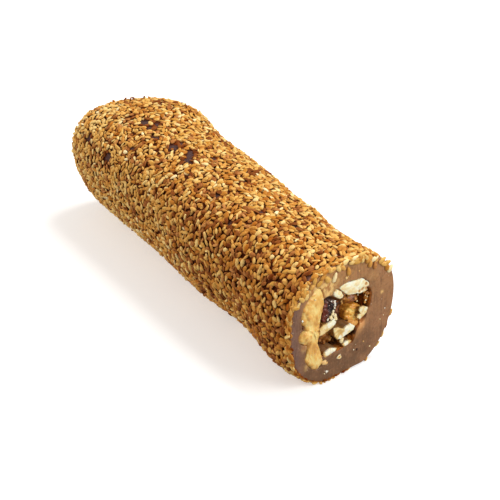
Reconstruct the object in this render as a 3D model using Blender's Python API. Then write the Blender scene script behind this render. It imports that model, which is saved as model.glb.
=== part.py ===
# A bar of walnut turkish delight, rolled in toasted sesame and cut at one end.
# Metres, +Z up. X runs along the bar with the cut end at +X, and Z = 0 is the flat underside.

import math
import random

import bmesh
import bpy
import numpy as np
from mathutils import Matrix, Vector

MM = 0.001

# Small steps along the skin and round it, from which its slopes are read.
STEP = 0.0002
TURN_STEP = 0.01

# Driving dimensions of the bar.
LENGTH = 0.132
SKIN_RADIUS = 0.0214
AXIS_HEIGHT = 0.0207
AXIS_X = 0.0004
AXIS_Y = 0.0001
CUT_YAW = math.radians(-6.5)
END_YAW = math.radians(16.0)
END_DOME = 0.0225
END_BLUNTNESS = 4.4
RIM_CHAMFER = 0.0009
FLAT_BLEND = 0.0005
GAP = 0.0003

# Roundness of the bar's section, as shares of its radius.
OVAL = 0.012
OVAL_TURN = math.radians(94.0)
LOBES = 0.041
LOBES_TURN = math.radians(13.0)
SQUARENESS = 0.02

# What the two long edges add to the radius, at shares of the length from the rounded end.
EDGE_ANGLE = math.radians(37.0)
UPPER_EDGE = -0.0003
SHOULDER = 0.0025
SHOULDER_AT = 0.14
SHOULDER_WIDTH = 0.085
WAIST = -0.0027
WAIST_AT = 0.785
WAIST_WIDTH = 0.20
LOWER_EDGE = -0.0004
BELLY = 0.0013
BELLY_AT = 0.57
BELLY_WIDTH = 0.14
RIM_SWELL = 0.0031
RIM_SWELL_AT = 0.92
RIM_SWELL_WIDTH = 0.105

# Facets of the bar's skin.
SKIN_SIDES = 36
DOME_RINGS = 7
SKIN_RINGS = 20

# Sesame seeds.
SEED_LENGTH = 0.0031
SEED_WIDTH = 0.0019
SEED_THICKNESS = 0.0009
SEED_COUNT = 152
SEED_LIFT = 0.0001
SEED_TAPER = 0.28
SEED_CLEAR_OF_CUT = 0.0026
SEED_SIDES = 6
SEED_RINGS = 3
SEED_TURN = 0.7
SEED_TILT = 0.12

# Walnut filling: its mouth at the cut and its core through the bar.
# Outlines on the cut are (sideways, height) pairs in millimetres, seen from outside.
OUTLINE_PULL = 0.38
OUTLINE_STEPS = 12
MOUTH = (
    (-8.4, 30.0), (-4.3, 30.0), (-0.1, 28.2), (5.6, 26.9), (10.0, 26.9), (11.0, 24.0),
    (10.2, 19.8), (7.4, 16.6), (5.6, 14.0), (3.6, 10.2), (-0.8, 9.6), (-6.5, 9.2),
    (-9.8, 11.2), (-10.6, 15.5), (-10.1, 21.0), (-9.2, 26.5),
)
MOUTH_CENTRE = (-0.2, 19.6)
MOUTH_POINTS = 180
MOUTH_FADE = 0.012
POCKET_START = -0.002
NEAR_STEP = 0.0025
CORE_START = POCKET_START + 3.0 * NEAR_STEP
CORE_END = 0.112
CORE_SIDES = 18
CORE_STEP = 0.009
CORE_RADIUS = 0.0086
CORE_LUMP = 0.0011

# How the core's lumps follow each other along it, in radians for each metre.
OVAL_DRIFT = 250.0
LOBE_BEAT = 420.0
LOBE_DRIFT = 130.0

# Walnut pieces: the section of a piece from its front to its back, as shares of its outline with
# depths that are shares of its crown, then shares of its whole depth.
CROWN = 0.0005
CROWN_SHARE = 0.2
FRONT_PROFILE = ((0.45, -0.6), (0.82, -0.3), (0.98, 1.0))
BACK_PROFILE = ((1.0, 0.35), (0.92, 0.65), (0.7, 0.88), (0.36, 0.97))
FRONT_TIP = -0.8
LUMP_SHARE = 0.6
LUMP_LOBES = 3.0
LUMP_TWIST = 1.7
LUMP_SEED = 40.0

# One entry for each piece that shows at the cut: its outline, the depths of its front and its back
# behind the cut in millimetres, the height of its lumps, its sides and its material.
PIECES = {
    "walnut_half": dict(
        outline=(
            (-11.4, 35.2), (-9.5, 34.3), (-8.5, 31.0), (-8.9, 27.2), (-9.8, 22.6),
            (-10.5, 18.6), (-10.3, 14.6), (-9.1, 10.4), (-8.2, 7.2), (-10.0, 5.7),
            (-13.0, 7.2), (-15.4, 11.2), (-14.3, 14.8), (-15.4, 17.3), (-17.8, 18.5),
            (-18.2, 21.0), (-15.7, 22.6), (-17.2, 25.6), (-16.4, 29.8), (-13.7, 32.6)),
        front=0.1, back=9.5, lump=0.35, sides=40, material="walnut_flesh"),
    "walnut_cream_top": dict(
        outline=(
            (-0.6, 31.0), (0.8, 31.9), (4.6, 31.7), (7.4, 31.3), (9.3, 29.8),
            (9.8, 27.8), (8.4, 26.7), (4.8, 26.9), (1.2, 27.9), (-0.2, 29.4)),
        front=0.2, back=5.6, lump=0.25, sides=20, material="walnut_cream"),
    "walnut_tip_top": dict(
        outline=(
            (-4.6, 30.6), (-3.7, 31.7), (-2.3, 31.4), (-1.5, 30.0), (-1.2, 28.6),
            (-1.9, 27.9), (-3.5, 28.8)),
        front=-0.2, back=4.4, lump=0.15, sides=14, material="walnut_cream"),
    "walnut_skin_left": dict(
        outline=(
            (-7.3, 29.6), (-5.4, 28.4), (-4.0, 26.6), (-2.6, 24.8), (-2.5, 22.6),
            (-4.2, 22.8), (-6.0, 21.7), (-7.8, 21.8), (-8.0, 24.6)),
        front=1.3, back=8.0, lump=0.3, sides=18, material="walnut_skin"),
    "walnut_chip_mid": dict(
        outline=(
            (-9.8, 17.8), (-9.9, 19.5), (-8.4, 20.6), (-6.0, 20.6), (-4.3, 22.0),
            (-3.3, 21.0), (-3.9, 19.4), (-6.0, 18.0), (-8.2, 17.5)),
        front=0.2, back=7.6, lump=0.2, sides=18, material="walnut_cream"),
    "walnut_chip_right": dict(
        outline=(
            (-3.9, 17.2), (-2.8, 17.9), (-0.6, 16.4), (2.0, 16.9), (4.2, 16.1),
            (5.1, 14.5), (4.2, 13.3), (0.6, 12.9), (-2.2, 13.3), (-3.7, 15.3)),
        front=0.3, back=8.0, lump=0.25, sides=20, material="walnut_cream"),
    "walnut_slab_right": dict(
        outline=(
            (5.7, 18.4), (6.6, 20.4), (8.3, 20.8), (9.8, 19.8), (9.5, 18.0),
            (7.9, 16.9), (6.2, 16.8)),
        front=0.1, back=1.9, lump=0.12, sides=14, material="walnut_cream"),
    "walnut_lump_back": dict(
        outline=(
            (2.9, 19.9), (4.4, 21.0), (6.8, 20.8), (8.5, 19.0), (8.6, 16.9),
            (7.2, 15.9), (5.9, 16.6), (3.8, 17.5), (1.4, 17.9)),
        front=2.7, back=9.0, lump=0.35, sides=18, material="walnut_flesh"),
    "walnut_chip_low": dict(
        outline=(
            (-8.1, 9.7), (-7.6, 10.9), (-5.6, 11.5), (-2.5, 10.4), (-3.0, 9.4),
            (-5.6, 8.8), (-7.4, 8.8)),
        front=0.3, back=7.2, lump=0.15, sides=14, material="walnut_cream"),
    "walnut_slab_low": dict(
        outline=((0.2, 10.0), (0.9, 10.8), (3.4, 10.4), (2.7, 9.4), (1.0, 9.1)),
        front=0.4, back=5.0, lump=0.1, sides=10, material="walnut_cream"),
}

# Colour, roughness and metallic value of each material.
MATERIALS = {
    "sesame_coat": ((0.47, 0.22, 0.06), 0.55, 0.0),
    "walnut_core": ((0.33, 0.16, 0.05), 0.5, 0.0),
    "walnut_flesh": ((0.72, 0.45, 0.18), 0.5, 0.0),
    "walnut_cream": ((0.85, 0.74, 0.47), 0.6, 0.0),
    "walnut_skin": ((0.11, 0.05, 0.03), 0.35, 0.0),
}


def clear_scene():
    for old in list(bpy.data.objects):
        bpy.data.objects.remove(old, do_unlink=True)


def new_collection(name):
    collection = bpy.data.collections.new(name)
    bpy.context.scene.collection.children.link(collection)
    return collection


def new_object(name, mesh, collection, material=None):
    made = bpy.data.objects.new(name, mesh)
    collection.objects.link(made)
    if material:
        made.data.materials.append(material)
    return made


def make_material(name):
    colour, roughness, metallic = MATERIALS[name]
    material = bpy.data.materials.new(name)
    material.use_nodes = True
    shader = material.node_tree.nodes["Principled BSDF"]
    shader.inputs["Base Color"].default_value = (*colour, 1.0)
    shader.inputs["Roughness"].default_value = roughness
    shader.inputs["Metallic"].default_value = metallic
    material.diffuse_color = (*colour, 1.0)
    return material


def hump(along, at, width):
    """A smooth rise of height 1 round one place along the bar."""
    return np.exp(-(((along - at) / width) ** 2))


def end_taper(distance):
    """Share of the full radius at a distance from the rounded end, as a blunt superellipse."""
    left = np.clip(1.0 - distance / END_DOME, 0.0, 1.0)
    return (1.0 - left ** END_BLUNTNESS) ** (1.0 / END_BLUNTNESS)


def bar_radius(along, angle):
    """Radius of the skin before the end's taper, for a share of the length and an angle round it."""
    roundness = 1.0 + OVAL * np.cos(2.0 * angle + OVAL_TURN)
    roundness = roundness + LOBES * np.sin(3.0 * angle + LOBES_TURN) - SQUARENESS * np.cos(4.0 * angle)
    upper = UPPER_EDGE + SHOULDER * hump(along, SHOULDER_AT, SHOULDER_WIDTH)
    upper = upper + WAIST * hump(along, WAIST_AT, WAIST_WIDTH)
    lower = LOWER_EDGE + BELLY * hump(along, BELLY_AT, BELLY_WIDTH)
    lower = lower + RIM_SWELL * hump(along, RIM_SWELL_AT, RIM_SWELL_WIDTH)
    side = np.cos(angle - EDGE_ANGLE)
    edges = upper * np.maximum(side, 0.0) ** 2 + lower * np.maximum(-side, 0.0) ** 2
    return SKIN_RADIUS * roundness + edges


def settle(height):
    """Heights below the floor become zero, with a short smooth blend above it."""
    blend = (height + FLAT_BLEND) ** 2 / (4.0 * FLAT_BLEND)
    return np.where(height <= -FLAT_BLEND, 0.0, np.where(height >= FLAT_BLEND, height, blend))


def skin_point(distance, angle, inset=0.0):
    """Point of the skin at a distance from the rounded end, drawn in towards the axis by an inset."""
    along = distance / LENGTH
    radius = (bar_radius(along, angle) - inset) * end_taper(distance)
    side = radius * np.cos(angle)
    x = distance - LENGTH / 2.0
    x = x + math.tan(CUT_YAW) * side * along ** 3
    x = x + math.tan(END_YAW) * side * (1.0 - along) ** 4
    height = settle(AXIS_HEIGHT + radius * np.sin(angle))
    return np.stack([x + AXIS_X, side + AXIS_Y, height], axis=-1)


def loft(name, rings, first_pole, last_pole):
    """Closed mesh of rings of equal count, with a fan of triangles to a pole at each end.

    A pole that is None leaves one flat face on that end.
    """
    mesh = bpy.data.meshes.new(name)
    shape = bmesh.new()
    rows = [[shape.verts.new(point) for point in ring] for ring in rings]
    sides = len(rows[0])
    for row, following in zip(rows, rows[1:]):
        for i in range(sides):
            k = (i + 1) % sides
            shape.faces.new((row[i], row[k], following[k]))
            shape.faces.new((row[i], following[k], following[i]))
    for row, pole, flip in ((rows[0], first_pole, True), (rows[-1], last_pole, False)):
        order = row[::-1] if flip else row
        if pole is None:
            shape.faces.new(order)
            continue
        tip = shape.verts.new(pole)
        for i in range(sides):
            shape.faces.new((order[i], order[(i + 1) % sides], tip))
    bmesh.ops.recalc_face_normals(shape, faces=shape.faces)
    shape.to_mesh(mesh)
    shape.free()
    return mesh


def make_skin(collection, material):
    """The jelly bar with its coat's base: a rounded end, an uneven run and a chamfered cut."""
    angles = np.linspace(0.0, 2.0 * math.pi, SKIN_SIDES, endpoint=False)
    tapers = np.sin(np.linspace(0.0, 0.5 * math.pi, DOME_RINGS + 1))[1:]
    dome = END_DOME * (1.0 - (1.0 - tapers ** END_BLUNTNESS) ** (1.0 / END_BLUNTNESS))
    run = np.linspace(END_DOME, LENGTH - RIM_CHAMFER, SKIN_RINGS + 1)[1:]
    rings = [skin_point(distance, angles) for distance in (*dome, *run)]
    rings.append(skin_point(LENGTH, angles, inset=RIM_CHAMFER))
    tip = skin_point(0.0, 0.0)
    return new_object("lokum_bar", loft("lokum_bar", rings, tip, None), collection, material)


def cut_point(side, height, depth):
    """Point behind the cut: sideways on its plane, up from the floor, and in from the plane."""
    normal = np.array([math.cos(CUT_YAW), -math.sin(CUT_YAW), 0.0])
    across = np.array([math.sin(CUT_YAW), math.cos(CUT_YAW), 0.0])
    face = np.array([LENGTH / 2.0 + AXIS_X, AXIS_Y, 0.0])
    up = np.array([0.0, 0.0, 1.0])
    side = np.asarray(side)[..., None]
    height = np.asarray(height)[..., None]
    depth = np.asarray(depth)[..., None]
    return face + side * across + height * up - depth * normal


def smooth_outline(points, count):
    """Closed cubic curve through the points, as evenly spaced points in metres."""
    corners = np.array(points) * MM
    after = np.roll(corners, -1, axis=0)
    pull = OUTLINE_PULL * (after - np.roll(corners, 1, axis=0))
    pull_after = np.roll(pull, -1, axis=0)
    fine = []
    for t in np.linspace(0.0, 1.0, OUTLINE_STEPS, endpoint=False):
        blend = t * t * (3.0 - 2.0 * t)
        bulge = t * (1.0 - t) * ((1.0 - t) * pull - t * pull_after)
        fine.append(corners * (1.0 - blend) + after * blend + bulge)
    curve = np.stack(fine, axis=1).reshape(-1, 2)
    curve = np.vstack([curve, curve[:1]])
    steps = np.linalg.norm(np.diff(curve, axis=0), axis=1)
    reached = np.concatenate([[0.0], np.cumsum(steps)])
    wanted = np.linspace(0.0, reached[-1], count, endpoint=False)
    return np.stack([np.interp(wanted, reached, curve[:, axis]) for axis in (0, 1)], axis=-1)


def piece_rings(outline, front, back, lump, sides):
    """Rings of a walnut piece: a low lumpy crown in front, straight sides and a rounded back."""
    edge = smooth_outline(outline, sides)
    middle = edge.mean(axis=0)
    turn = np.linspace(0.0, 2.0 * math.pi, sides, endpoint=False)
    span = back - front
    crown = min(CROWN, CROWN_SHARE * span)
    profile = [(share, depth * crown) for share, depth in FRONT_PROFILE]
    profile += [(share, depth * span) for share, depth in BACK_PROFILE]
    rings = []
    for row, (share, depth) in enumerate(profile):
        ripple = lump * np.sin(LUMP_LOBES * turn + LUMP_TWIST * row + LUMP_SEED * middle[0] / MM)
        ring = middle + (edge - middle) * share
        rings.append(cut_point(ring[:, 0], ring[:, 1], front + depth + LUMP_SHARE * ripple))
    first = cut_point(*middle, front + FRONT_TIP * crown)
    last = cut_point(*middle, back)
    return rings, first, last


def make_piece(name, values, collection, materials):
    rings, first, last = piece_rings(values["outline"], values["front"] * MM, values["back"] * MM,
                                     values["lump"] * MM, values["sides"])
    return new_object(name, loft(name, rings, first, last), collection, materials[values["material"]])


def mouth_radii(angles):
    """Distance from the mouth's centre to its outline at each angle."""
    edge = smooth_outline(MOUTH, MOUTH_POINTS) - np.array(MOUTH_CENTRE) * MM
    turn = np.arctan2(edge[:, 1], edge[:, 0])
    order = np.argsort(turn)
    return np.interp(angles, turn[order], np.hypot(edge[:, 0], edge[:, 1])[order], period=2.0 * math.pi)


def filling_ring(depth, angles, mouth):
    """Section of the filling at a depth: the mouth's outline fades into walnut lumps in a row."""
    fade = min(max(depth / MOUTH_FADE, 0.0), 1.0)
    fade = fade * fade * (3.0 - 2.0 * fade)
    lumps = CORE_RADIUS + CORE_LUMP * np.sin(2.0 * angles + OVAL_DRIFT * depth)
    lobes = np.cos(3.0 * angles - LOBE_DRIFT * depth)
    lumps = lumps + CORE_LUMP * math.sin(LOBE_BEAT * depth) * lobes
    radius = mouth * (1.0 - fade) + lumps * fade
    bend = -math.tan(CUT_YAW) * depth * fade
    side = MOUTH_CENTRE[0] * MM + bend + radius * np.cos(angles)
    height = MOUTH_CENTRE[1] * MM + radius * np.sin(angles)
    return cut_point(side, height, np.full_like(angles, depth))


def make_filling(name, start, collection, material=None):
    """Closed solid of the filling from a depth behind the cut to its hidden end."""
    angles = np.linspace(0.0, 2.0 * math.pi, CORE_SIDES, endpoint=False)
    mouth = mouth_radii(angles)
    near = np.arange(POCKET_START, MOUTH_FADE, NEAR_STEP)
    far = np.arange(MOUTH_FADE, CORE_END, CORE_STEP)
    depths = np.concatenate([near, far])
    rings = [filling_ring(depth, angles, mouth) for depth in depths if depth > start - GAP]
    centre = np.array(MOUTH_CENTRE) * MM
    first = cut_point(*centre, start)
    last = cut_point(centre[0] - math.tan(CUT_YAW) * CORE_END, centre[1], CORE_END)
    return new_object(name, loft(name, rings, first, last), collection, material)


def make_cutter(source, collection):
    """A copy of a piece swollen by the gap, which cuts the piece's seat."""
    cutter = new_object(source.name + "_seat", source.data.copy(), collection)
    swell = cutter.modifiers.new("swell", "DISPLACE")
    swell.strength = GAP
    swell.mid_level = 0.0
    cutter.hide_render = True
    cutter.display_type = "WIRE"
    return cutter


def apply_boolean(target, operation, collection, solver="EXACT"):
    """Join or cut the target with every object of a collection, and apply it."""
    modifier = target.modifiers.new("join", "BOOLEAN")
    modifier.operation = operation
    modifier.solver = solver
    modifier.operand_type = "COLLECTION"
    modifier.collection = collection
    bpy.context.view_layer.objects.active = target
    with bpy.context.temp_override(object=target, active_object=target):
        bpy.ops.object.modifier_apply(modifier=modifier.name)


def drop_scraps(target):
    """Keep only the largest body of a cut mesh, without the slivers that its cutters leave."""
    shape = bmesh.new()
    shape.from_mesh(target.data)
    waiting = set(shape.verts)
    bodies = []
    while waiting:
        body = [waiting.pop()]
        for vertex in body:
            for edge in vertex.link_edges:
                other = edge.other_vert(vertex)
                if other in waiting:
                    waiting.discard(other)
                    body.append(other)
        bodies.append(body)
    bodies.sort(key=len)
    for body in bodies[:-1]:
        bmesh.ops.delete(shape, geom=body, context="VERTS")
    shape.to_mesh(target.data)
    shape.free()


def seed_mesh():
    """One sesame seed lying flat: a flattened drop with its pointed end at +X."""
    mesh = bpy.data.meshes.new("seed")
    shape = bmesh.new()
    bmesh.ops.create_uvsphere(shape, u_segments=SEED_SIDES, v_segments=SEED_RINGS, radius=1.0)
    for vertex in shape.verts:
        along = vertex.co.z
        narrow = 1.0 - SEED_TAPER * along
        across = 0.5 * SEED_WIDTH * vertex.co.x * narrow
        upward = 0.5 * SEED_THICKNESS * vertex.co.y * narrow
        vertex.co = Vector((0.5 * SEED_LENGTH * along, across, upward))
    bmesh.ops.recalc_face_normals(shape, faces=shape.faces)
    shape.to_mesh(mesh)
    shape.free()
    return mesh


def seed_places():
    """Even places over the skin: equal areas along it, and the golden angle from seed to seed."""
    distances = np.linspace(0.0, LENGTH - SEED_CLEAR_OF_CUT, 600)
    taper = end_taper(distances)
    run = np.hypot(np.diff(distances), SKIN_RADIUS * np.diff(taper))
    area = np.concatenate([[0.0], np.cumsum(run * 0.5 * (taper[1:] + taper[:-1]))])
    shares = (np.arange(SEED_COUNT) + 0.5) / SEED_COUNT
    golden = math.pi * (3.0 - math.sqrt(5.0))
    return np.interp(shares * area[-1], area, distances), np.arange(SEED_COUNT) * golden


def seed_frame(distance, angle, turn, tilt):
    """Placement of a seed: flat on the skin, turned in its plane and tipped a little."""
    point = skin_point(distance, angle)
    behind = max(distance - STEP, 0.0)
    along = Vector(skin_point(distance + STEP, angle) - skin_point(behind, angle))
    around = Vector(skin_point(distance, angle + TURN_STEP) - skin_point(distance, angle - TURN_STEP))
    around.normalize()
    normal = around.cross(along).normalized()
    inside = Vector((point[0] + 0.5 * END_DOME, AXIS_Y, AXIS_HEIGHT))
    if normal.dot(Vector(point) - inside) < 0.0:
        normal.negate()
    basis = Matrix((around, normal.cross(around), normal)).transposed()
    place = Matrix.Translation(Vector(point) + normal * SEED_LIFT)
    lie = Matrix.Rotation(turn, 4, "Z") @ Matrix.Rotation(tilt, 4, "Y")
    return place @ basis.to_4x4() @ lie, normal


def make_seeds(collection):
    """Sesame seeds lying mostly across the bar, none on the flat underside."""
    draw = random.Random(7)
    mesh = seed_mesh()
    reach = 0.5 * SEED_LENGTH
    for distance, angle in zip(*seed_places()):
        turn = draw.gauss(0.0, SEED_TURN)
        tilt = draw.uniform(-SEED_TILT, SEED_TILT)
        frame, normal = seed_frame(float(distance), float(angle), turn, tilt)
        droop = reach * math.sqrt(max(1.0 - normal.z ** 2, 0.0))
        lowest = frame.translation.z - droop - SEED_THICKNESS
        if lowest < 0.0:
            continue
        seed = new_object("seed", mesh, collection)
        seed.matrix_world = frame


def empty_collection(collection):
    for used in list(collection.objects):
        bpy.data.objects.remove(used, do_unlink=True)


def main():
    clear_scene()
    bar_parts = new_collection("walnut_turkish_delight_bar")
    cutters = new_collection("cutters")
    seeds = new_collection("seeds")
    materials = {name: make_material(name) for name in MATERIALS}

    skin = make_skin(bar_parts, materials["sesame_coat"])
    make_seeds(seeds)
    bpy.context.view_layer.update()
    apply_boolean(skin, "UNION", seeds)
    empty_collection(seeds)

    pieces = [make_piece(name, values, bar_parts, materials) for name, values in PIECES.items()]
    core = make_filling("walnut_core", CORE_START, bar_parts, materials["walnut_core"])
    for piece in pieces:
        make_cutter(piece, cutters)
    bpy.context.view_layer.update()
    apply_boolean(core, "DIFFERENCE", cutters)
    drop_scraps(core)

    pocket = make_filling("pocket", POCKET_START, cutters)
    make_cutter(pocket, cutters)
    bpy.data.objects.remove(pocket, do_unlink=True)
    bpy.context.view_layer.update()
    apply_boolean(skin, "DIFFERENCE", cutters)
    drop_scraps(skin)


main()
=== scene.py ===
import math

import bpy
import numpy as np
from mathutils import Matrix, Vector


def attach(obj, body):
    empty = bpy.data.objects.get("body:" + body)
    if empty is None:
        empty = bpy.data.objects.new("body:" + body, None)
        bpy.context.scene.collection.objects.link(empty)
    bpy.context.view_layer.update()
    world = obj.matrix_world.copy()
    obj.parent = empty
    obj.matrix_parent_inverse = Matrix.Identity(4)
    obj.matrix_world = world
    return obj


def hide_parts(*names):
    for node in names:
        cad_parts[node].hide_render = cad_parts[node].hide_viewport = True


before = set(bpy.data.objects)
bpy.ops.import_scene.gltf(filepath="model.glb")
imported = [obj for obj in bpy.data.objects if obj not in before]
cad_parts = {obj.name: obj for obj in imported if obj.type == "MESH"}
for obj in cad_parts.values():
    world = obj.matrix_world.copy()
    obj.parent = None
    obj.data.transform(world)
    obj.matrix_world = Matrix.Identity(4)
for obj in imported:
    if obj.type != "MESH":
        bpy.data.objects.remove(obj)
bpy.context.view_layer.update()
mm = 0.001


def report(stage):
    # Says which stage of the scene is done.
    print("scene:", stage)


# Camera and light


viewPoint = {
    "target": (0.02068, -0.00351, 0.0220),  # the point in the middle of the picture
    "turn": 33.73,  # degrees between the line of sight and the bar's length
    "drop": 31.64,  # degrees that the camera looks down
    "away": 0.610,
    "focalPixels": 1926.8,
    "pictureWidth": 500,
    "sensor": 36.0,
}

lighting = {
    "skyStrength": 0.42,
    "floorTone": 0.85,
    "floorGlow": 0.38,
    "floorReach": 3.0,
}

# Places are right, away and up from the target, seen from the camera.
lamps = {
    "key": {"power": 5.2, "size": 0.36, "place": (0.30, 0.32, 0.85), "tint": (1.0, 1.0, 1.0)},
    "fill": {"power": 6.2, "size": 0.6, "place": (0.75, -0.35, 0.45), "tint": (1.0, 1.0, 1.0)},
    "side": {"power": 4.8, "size": 0.6, "place": (-0.9, 0.1, 0.35), "tint": (1.0, 0.88, 0.74)},
}


def sightLines():
    # Level directions away from the camera and to its right.
    turn = math.radians(viewPoint["turn"])
    away = Vector((-math.cos(turn), math.sin(turn), 0.0))
    right = Vector((math.sin(turn), math.cos(turn), 0.0))
    return away, right


def placeCamera():
    # The camera stands back from its target along a line that drops towards it.
    away, _ = sightLines()
    drop = math.radians(viewPoint["drop"])
    sight = away * math.cos(drop) - Vector((0.0, 0.0, math.sin(drop)))
    data = bpy.data.cameras.new("camera")
    data.sensor_width = viewPoint["sensor"]
    data.lens = viewPoint["focalPixels"] / viewPoint["pictureWidth"] * viewPoint["sensor"]
    data.clip_start = 0.01
    camera = bpy.data.objects.new("camera", data)
    camera.location = Vector(viewPoint["target"]) - sight * viewPoint["away"]
    camera.rotation_euler = sight.to_track_quat("-Z", "Y").to_euler()
    bpy.context.scene.collection.objects.link(camera)
    bpy.context.scene.camera = camera


def placeLamp(name, power, size, place, tint):
    # A square soft lamp at its place, turned to face the target.
    away, right = sightLines()
    target = Vector(viewPoint["target"])
    data = bpy.data.lights.new(name, "AREA")
    data.energy = power
    data.size = size
    data.color = tint
    lamp = bpy.data.objects.new(name, data)
    lamp.location = target + right * place[0] + away * place[1] + Vector((0.0, 0.0, place[2]))
    lamp.rotation_euler = (target - lamp.location).to_track_quat("-Z", "Y").to_euler()
    bpy.context.scene.collection.objects.link(lamp)


def placeSky():
    # An even white sky, and colours shown as they are.
    world = bpy.data.worlds.new("studio")
    world.use_nodes = True
    background = world.node_tree.nodes["Background"]
    background.inputs["Color"].default_value = (1.0, 1.0, 1.0, 1.0)
    background.inputs["Strength"].default_value = lighting["skyStrength"]
    bpy.context.scene.world = world
    bpy.context.scene.view_settings.view_transform = "Standard"


# Material recipes


def shade(red, green, blue):
    # A screen colour from 0 to 255 as the linear colour that the shaders take.
    screen = np.array([red, green, blue]) / 255.0
    linear = np.where(screen <= 0.04045, screen / 12.92, ((screen + 0.055) / 1.055) ** 2.4)
    return (*(float(value) for value in linear), 1.0)


class Flow:
    # A number or a colour on its way through a recipe's nodes.
    def __init__(self, recipe, socket):
        self.recipe = recipe
        self.socket = socket

    def maths(self, operation, first, second):
        # One Math node on two values, of which either may be a plain number.
        return self.recipe.node("ShaderNodeMath", {"operation": operation}, {0: first, 1: second})

    def __add__(self, other):
        return self.maths("ADD", self, other)

    def __radd__(self, other):
        return self.maths("ADD", other, self)

    def __sub__(self, other):
        return self.maths("SUBTRACT", self, other)

    def __rsub__(self, other):
        return self.maths("SUBTRACT", other, self)

    def __mul__(self, other):
        return self.maths("MULTIPLY", self, other)

    def __rmul__(self, other):
        return self.maths("MULTIPLY", other, self)


class Recipe:
    # A material whose nodes all come from node(): a type, its settings and its sockets.
    def __init__(self, name):
        self.material = bpy.data.materials.new(name)
        self.material.use_nodes = True
        self.tree = self.material.node_tree
        self.shader = self.tree.nodes["Principled BSDF"]
        self.place = self.node("ShaderNodeTexCoord", output="Object")

    def node(self, kind, settings=None, sockets=None, output=0):
        # Settings come first, because some of them change which sockets a node has.
        made = self.tree.nodes.new(kind)
        for key, value in (settings or {}).items():
            if key == "stops":
                self.setStops(made.color_ramp, value)
            else:
                setattr(made, key, value)
        for key, value in (sockets or {}).items():
            self.feed(made.inputs[key], value)
        return Flow(self, made.outputs[output])

    def feed(self, socket, value):
        # A link where the value comes from a node, and else a constant.
        if isinstance(value, Flow):
            self.tree.links.new(value.socket, socket)
        else:
            socket.default_value = value

    def setStops(self, ramp, stops):
        # A colour ramp gets its stops, each a place from 0 to 1 and a colour.
        while len(ramp.elements) < len(stops):
            ramp.elements.new(1.0)
        for element, (position, colour) in zip(ramp.elements, stops):
            element.position = position
            element.color = colour

    def ramp(self, factor, *stops):
        # Colours along a factor, from stops of a place and a colour.
        return self.node("ShaderNodeValToRGB", {"stops": stops}, {"Fac": factor})

    def rise(self, value, low, high):
        # 0 below the low value, 1 above the high one and smooth in between.
        return self.node("ShaderNodeMapRange", {"interpolation_type": "SMOOTHSTEP"},
                         {"Value": value, "From Min": low, "From Max": high})

    def noise(self, size, detail=2.0, roughness=0.5, stretch=None):
        # Soft noise whose patches are about one size across, in metres.
        place = self.place
        if stretch:
            place = self.node("ShaderNodeMapping", None, {"Vector": place, "Scale": stretch})
        return self.node("ShaderNodeTexNoise", None, {
            "Vector": place, "Scale": 1.0 / size, "Detail": detail, "Roughness": roughness})

    def speckle(self, size):
        # Distance to the nearest of many scattered dots, as a share of their spacing.
        return self.node("ShaderNodeTexVoronoi", None, {
            "Vector": self.place, "Scale": 1.0 / size}, output="Distance")

    def blend(self, factor, first, second):
        # The second colour over the first by a factor. Colours have the Mix node's sockets 6, 7 and 2.
        return self.node("ShaderNodeMix", {"data_type": "RGBA"}, {0: factor, 6: first, 7: second}, output=2)

    def layers(self, colour, *tones):
        # Tones laid over a colour one after another, each by its own factor.
        for factor, tone in tones:
            colour = self.blend(factor, colour, tone)
        return colour

    def attribute(self, name):
        # A value that the mesh has at its points.
        return self.node("ShaderNodeAttribute", {"attribute_name": name}, output="Fac")

    def coordinate(self, name):
        # One coordinate of the place, X, Y or Z, in metres.
        return self.node("ShaderNodeSeparateXYZ", None, {0: self.place}, output=name)

    def bump(self, height, distance):
        # The surface's direction over a relief of a height times a distance in metres.
        return self.node("ShaderNodeBump", None, {"Height": height, "Distance": distance})

    def finish(self, **sockets):
        # Feeds the shader's sockets, named with an underscore for each space.
        for name, value in sockets.items():
            self.feed(self.shader.inputs[name.replace("_", " ")], value)
        return self.material


def shifted(value, noise, amount):
    # A value that noise moves up and down by up to half an amount.
    return value + amount * noise - 0.5 * amount


# Meshes from arrays


def enclosedVolume(mesh):
    # A third of each face's area times how far its plane lies from the origin, added up. It is negative
    # where the faces point inwards.
    count = len(mesh.polygons)
    normals, centres, areas = np.zeros(3 * count), np.zeros(3 * count), np.zeros(count)
    mesh.polygons.foreach_get("normal", normals)
    mesh.polygons.foreach_get("center", centres)
    mesh.polygons.foreach_get("area", areas)
    return float(((normals * centres).reshape(-1, 3).sum(axis=1) * areas).sum() / 3.0)


def meshFromArrays(name, points, corners, sizes, material, attributes=None):
    # A smooth mesh of faces given as one row of corner numbers and the size of each face. Its faces are
    # turned round where they point inwards.
    mesh = bpy.data.meshes.new(name)
    mesh.vertices.add(len(points))
    mesh.vertices.foreach_set("co", np.ascontiguousarray(points, dtype=np.float32).ravel())
    mesh.loops.add(len(corners))
    mesh.loops.foreach_set("vertex_index", corners.astype(np.int32))
    mesh.polygons.add(len(sizes))
    mesh.polygons.foreach_set("loop_start", (np.cumsum(sizes) - sizes).astype(np.int32))
    for key, values in (attributes or {}).items():
        layer = mesh.attributes.new(key, "FLOAT", "POINT")
        layer.data.foreach_set("value", np.ascontiguousarray(values, dtype=np.float32).ravel())
    mesh.update(calc_edges=True)
    if enclosedVolume(mesh) < 0.0:
        mesh.flip_normals()
    mesh.shade_smooth()
    mesh.materials.append(material)
    made = bpy.data.objects.new(name, mesh)
    bpy.context.scene.collection.objects.link(made)
    return made


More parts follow.
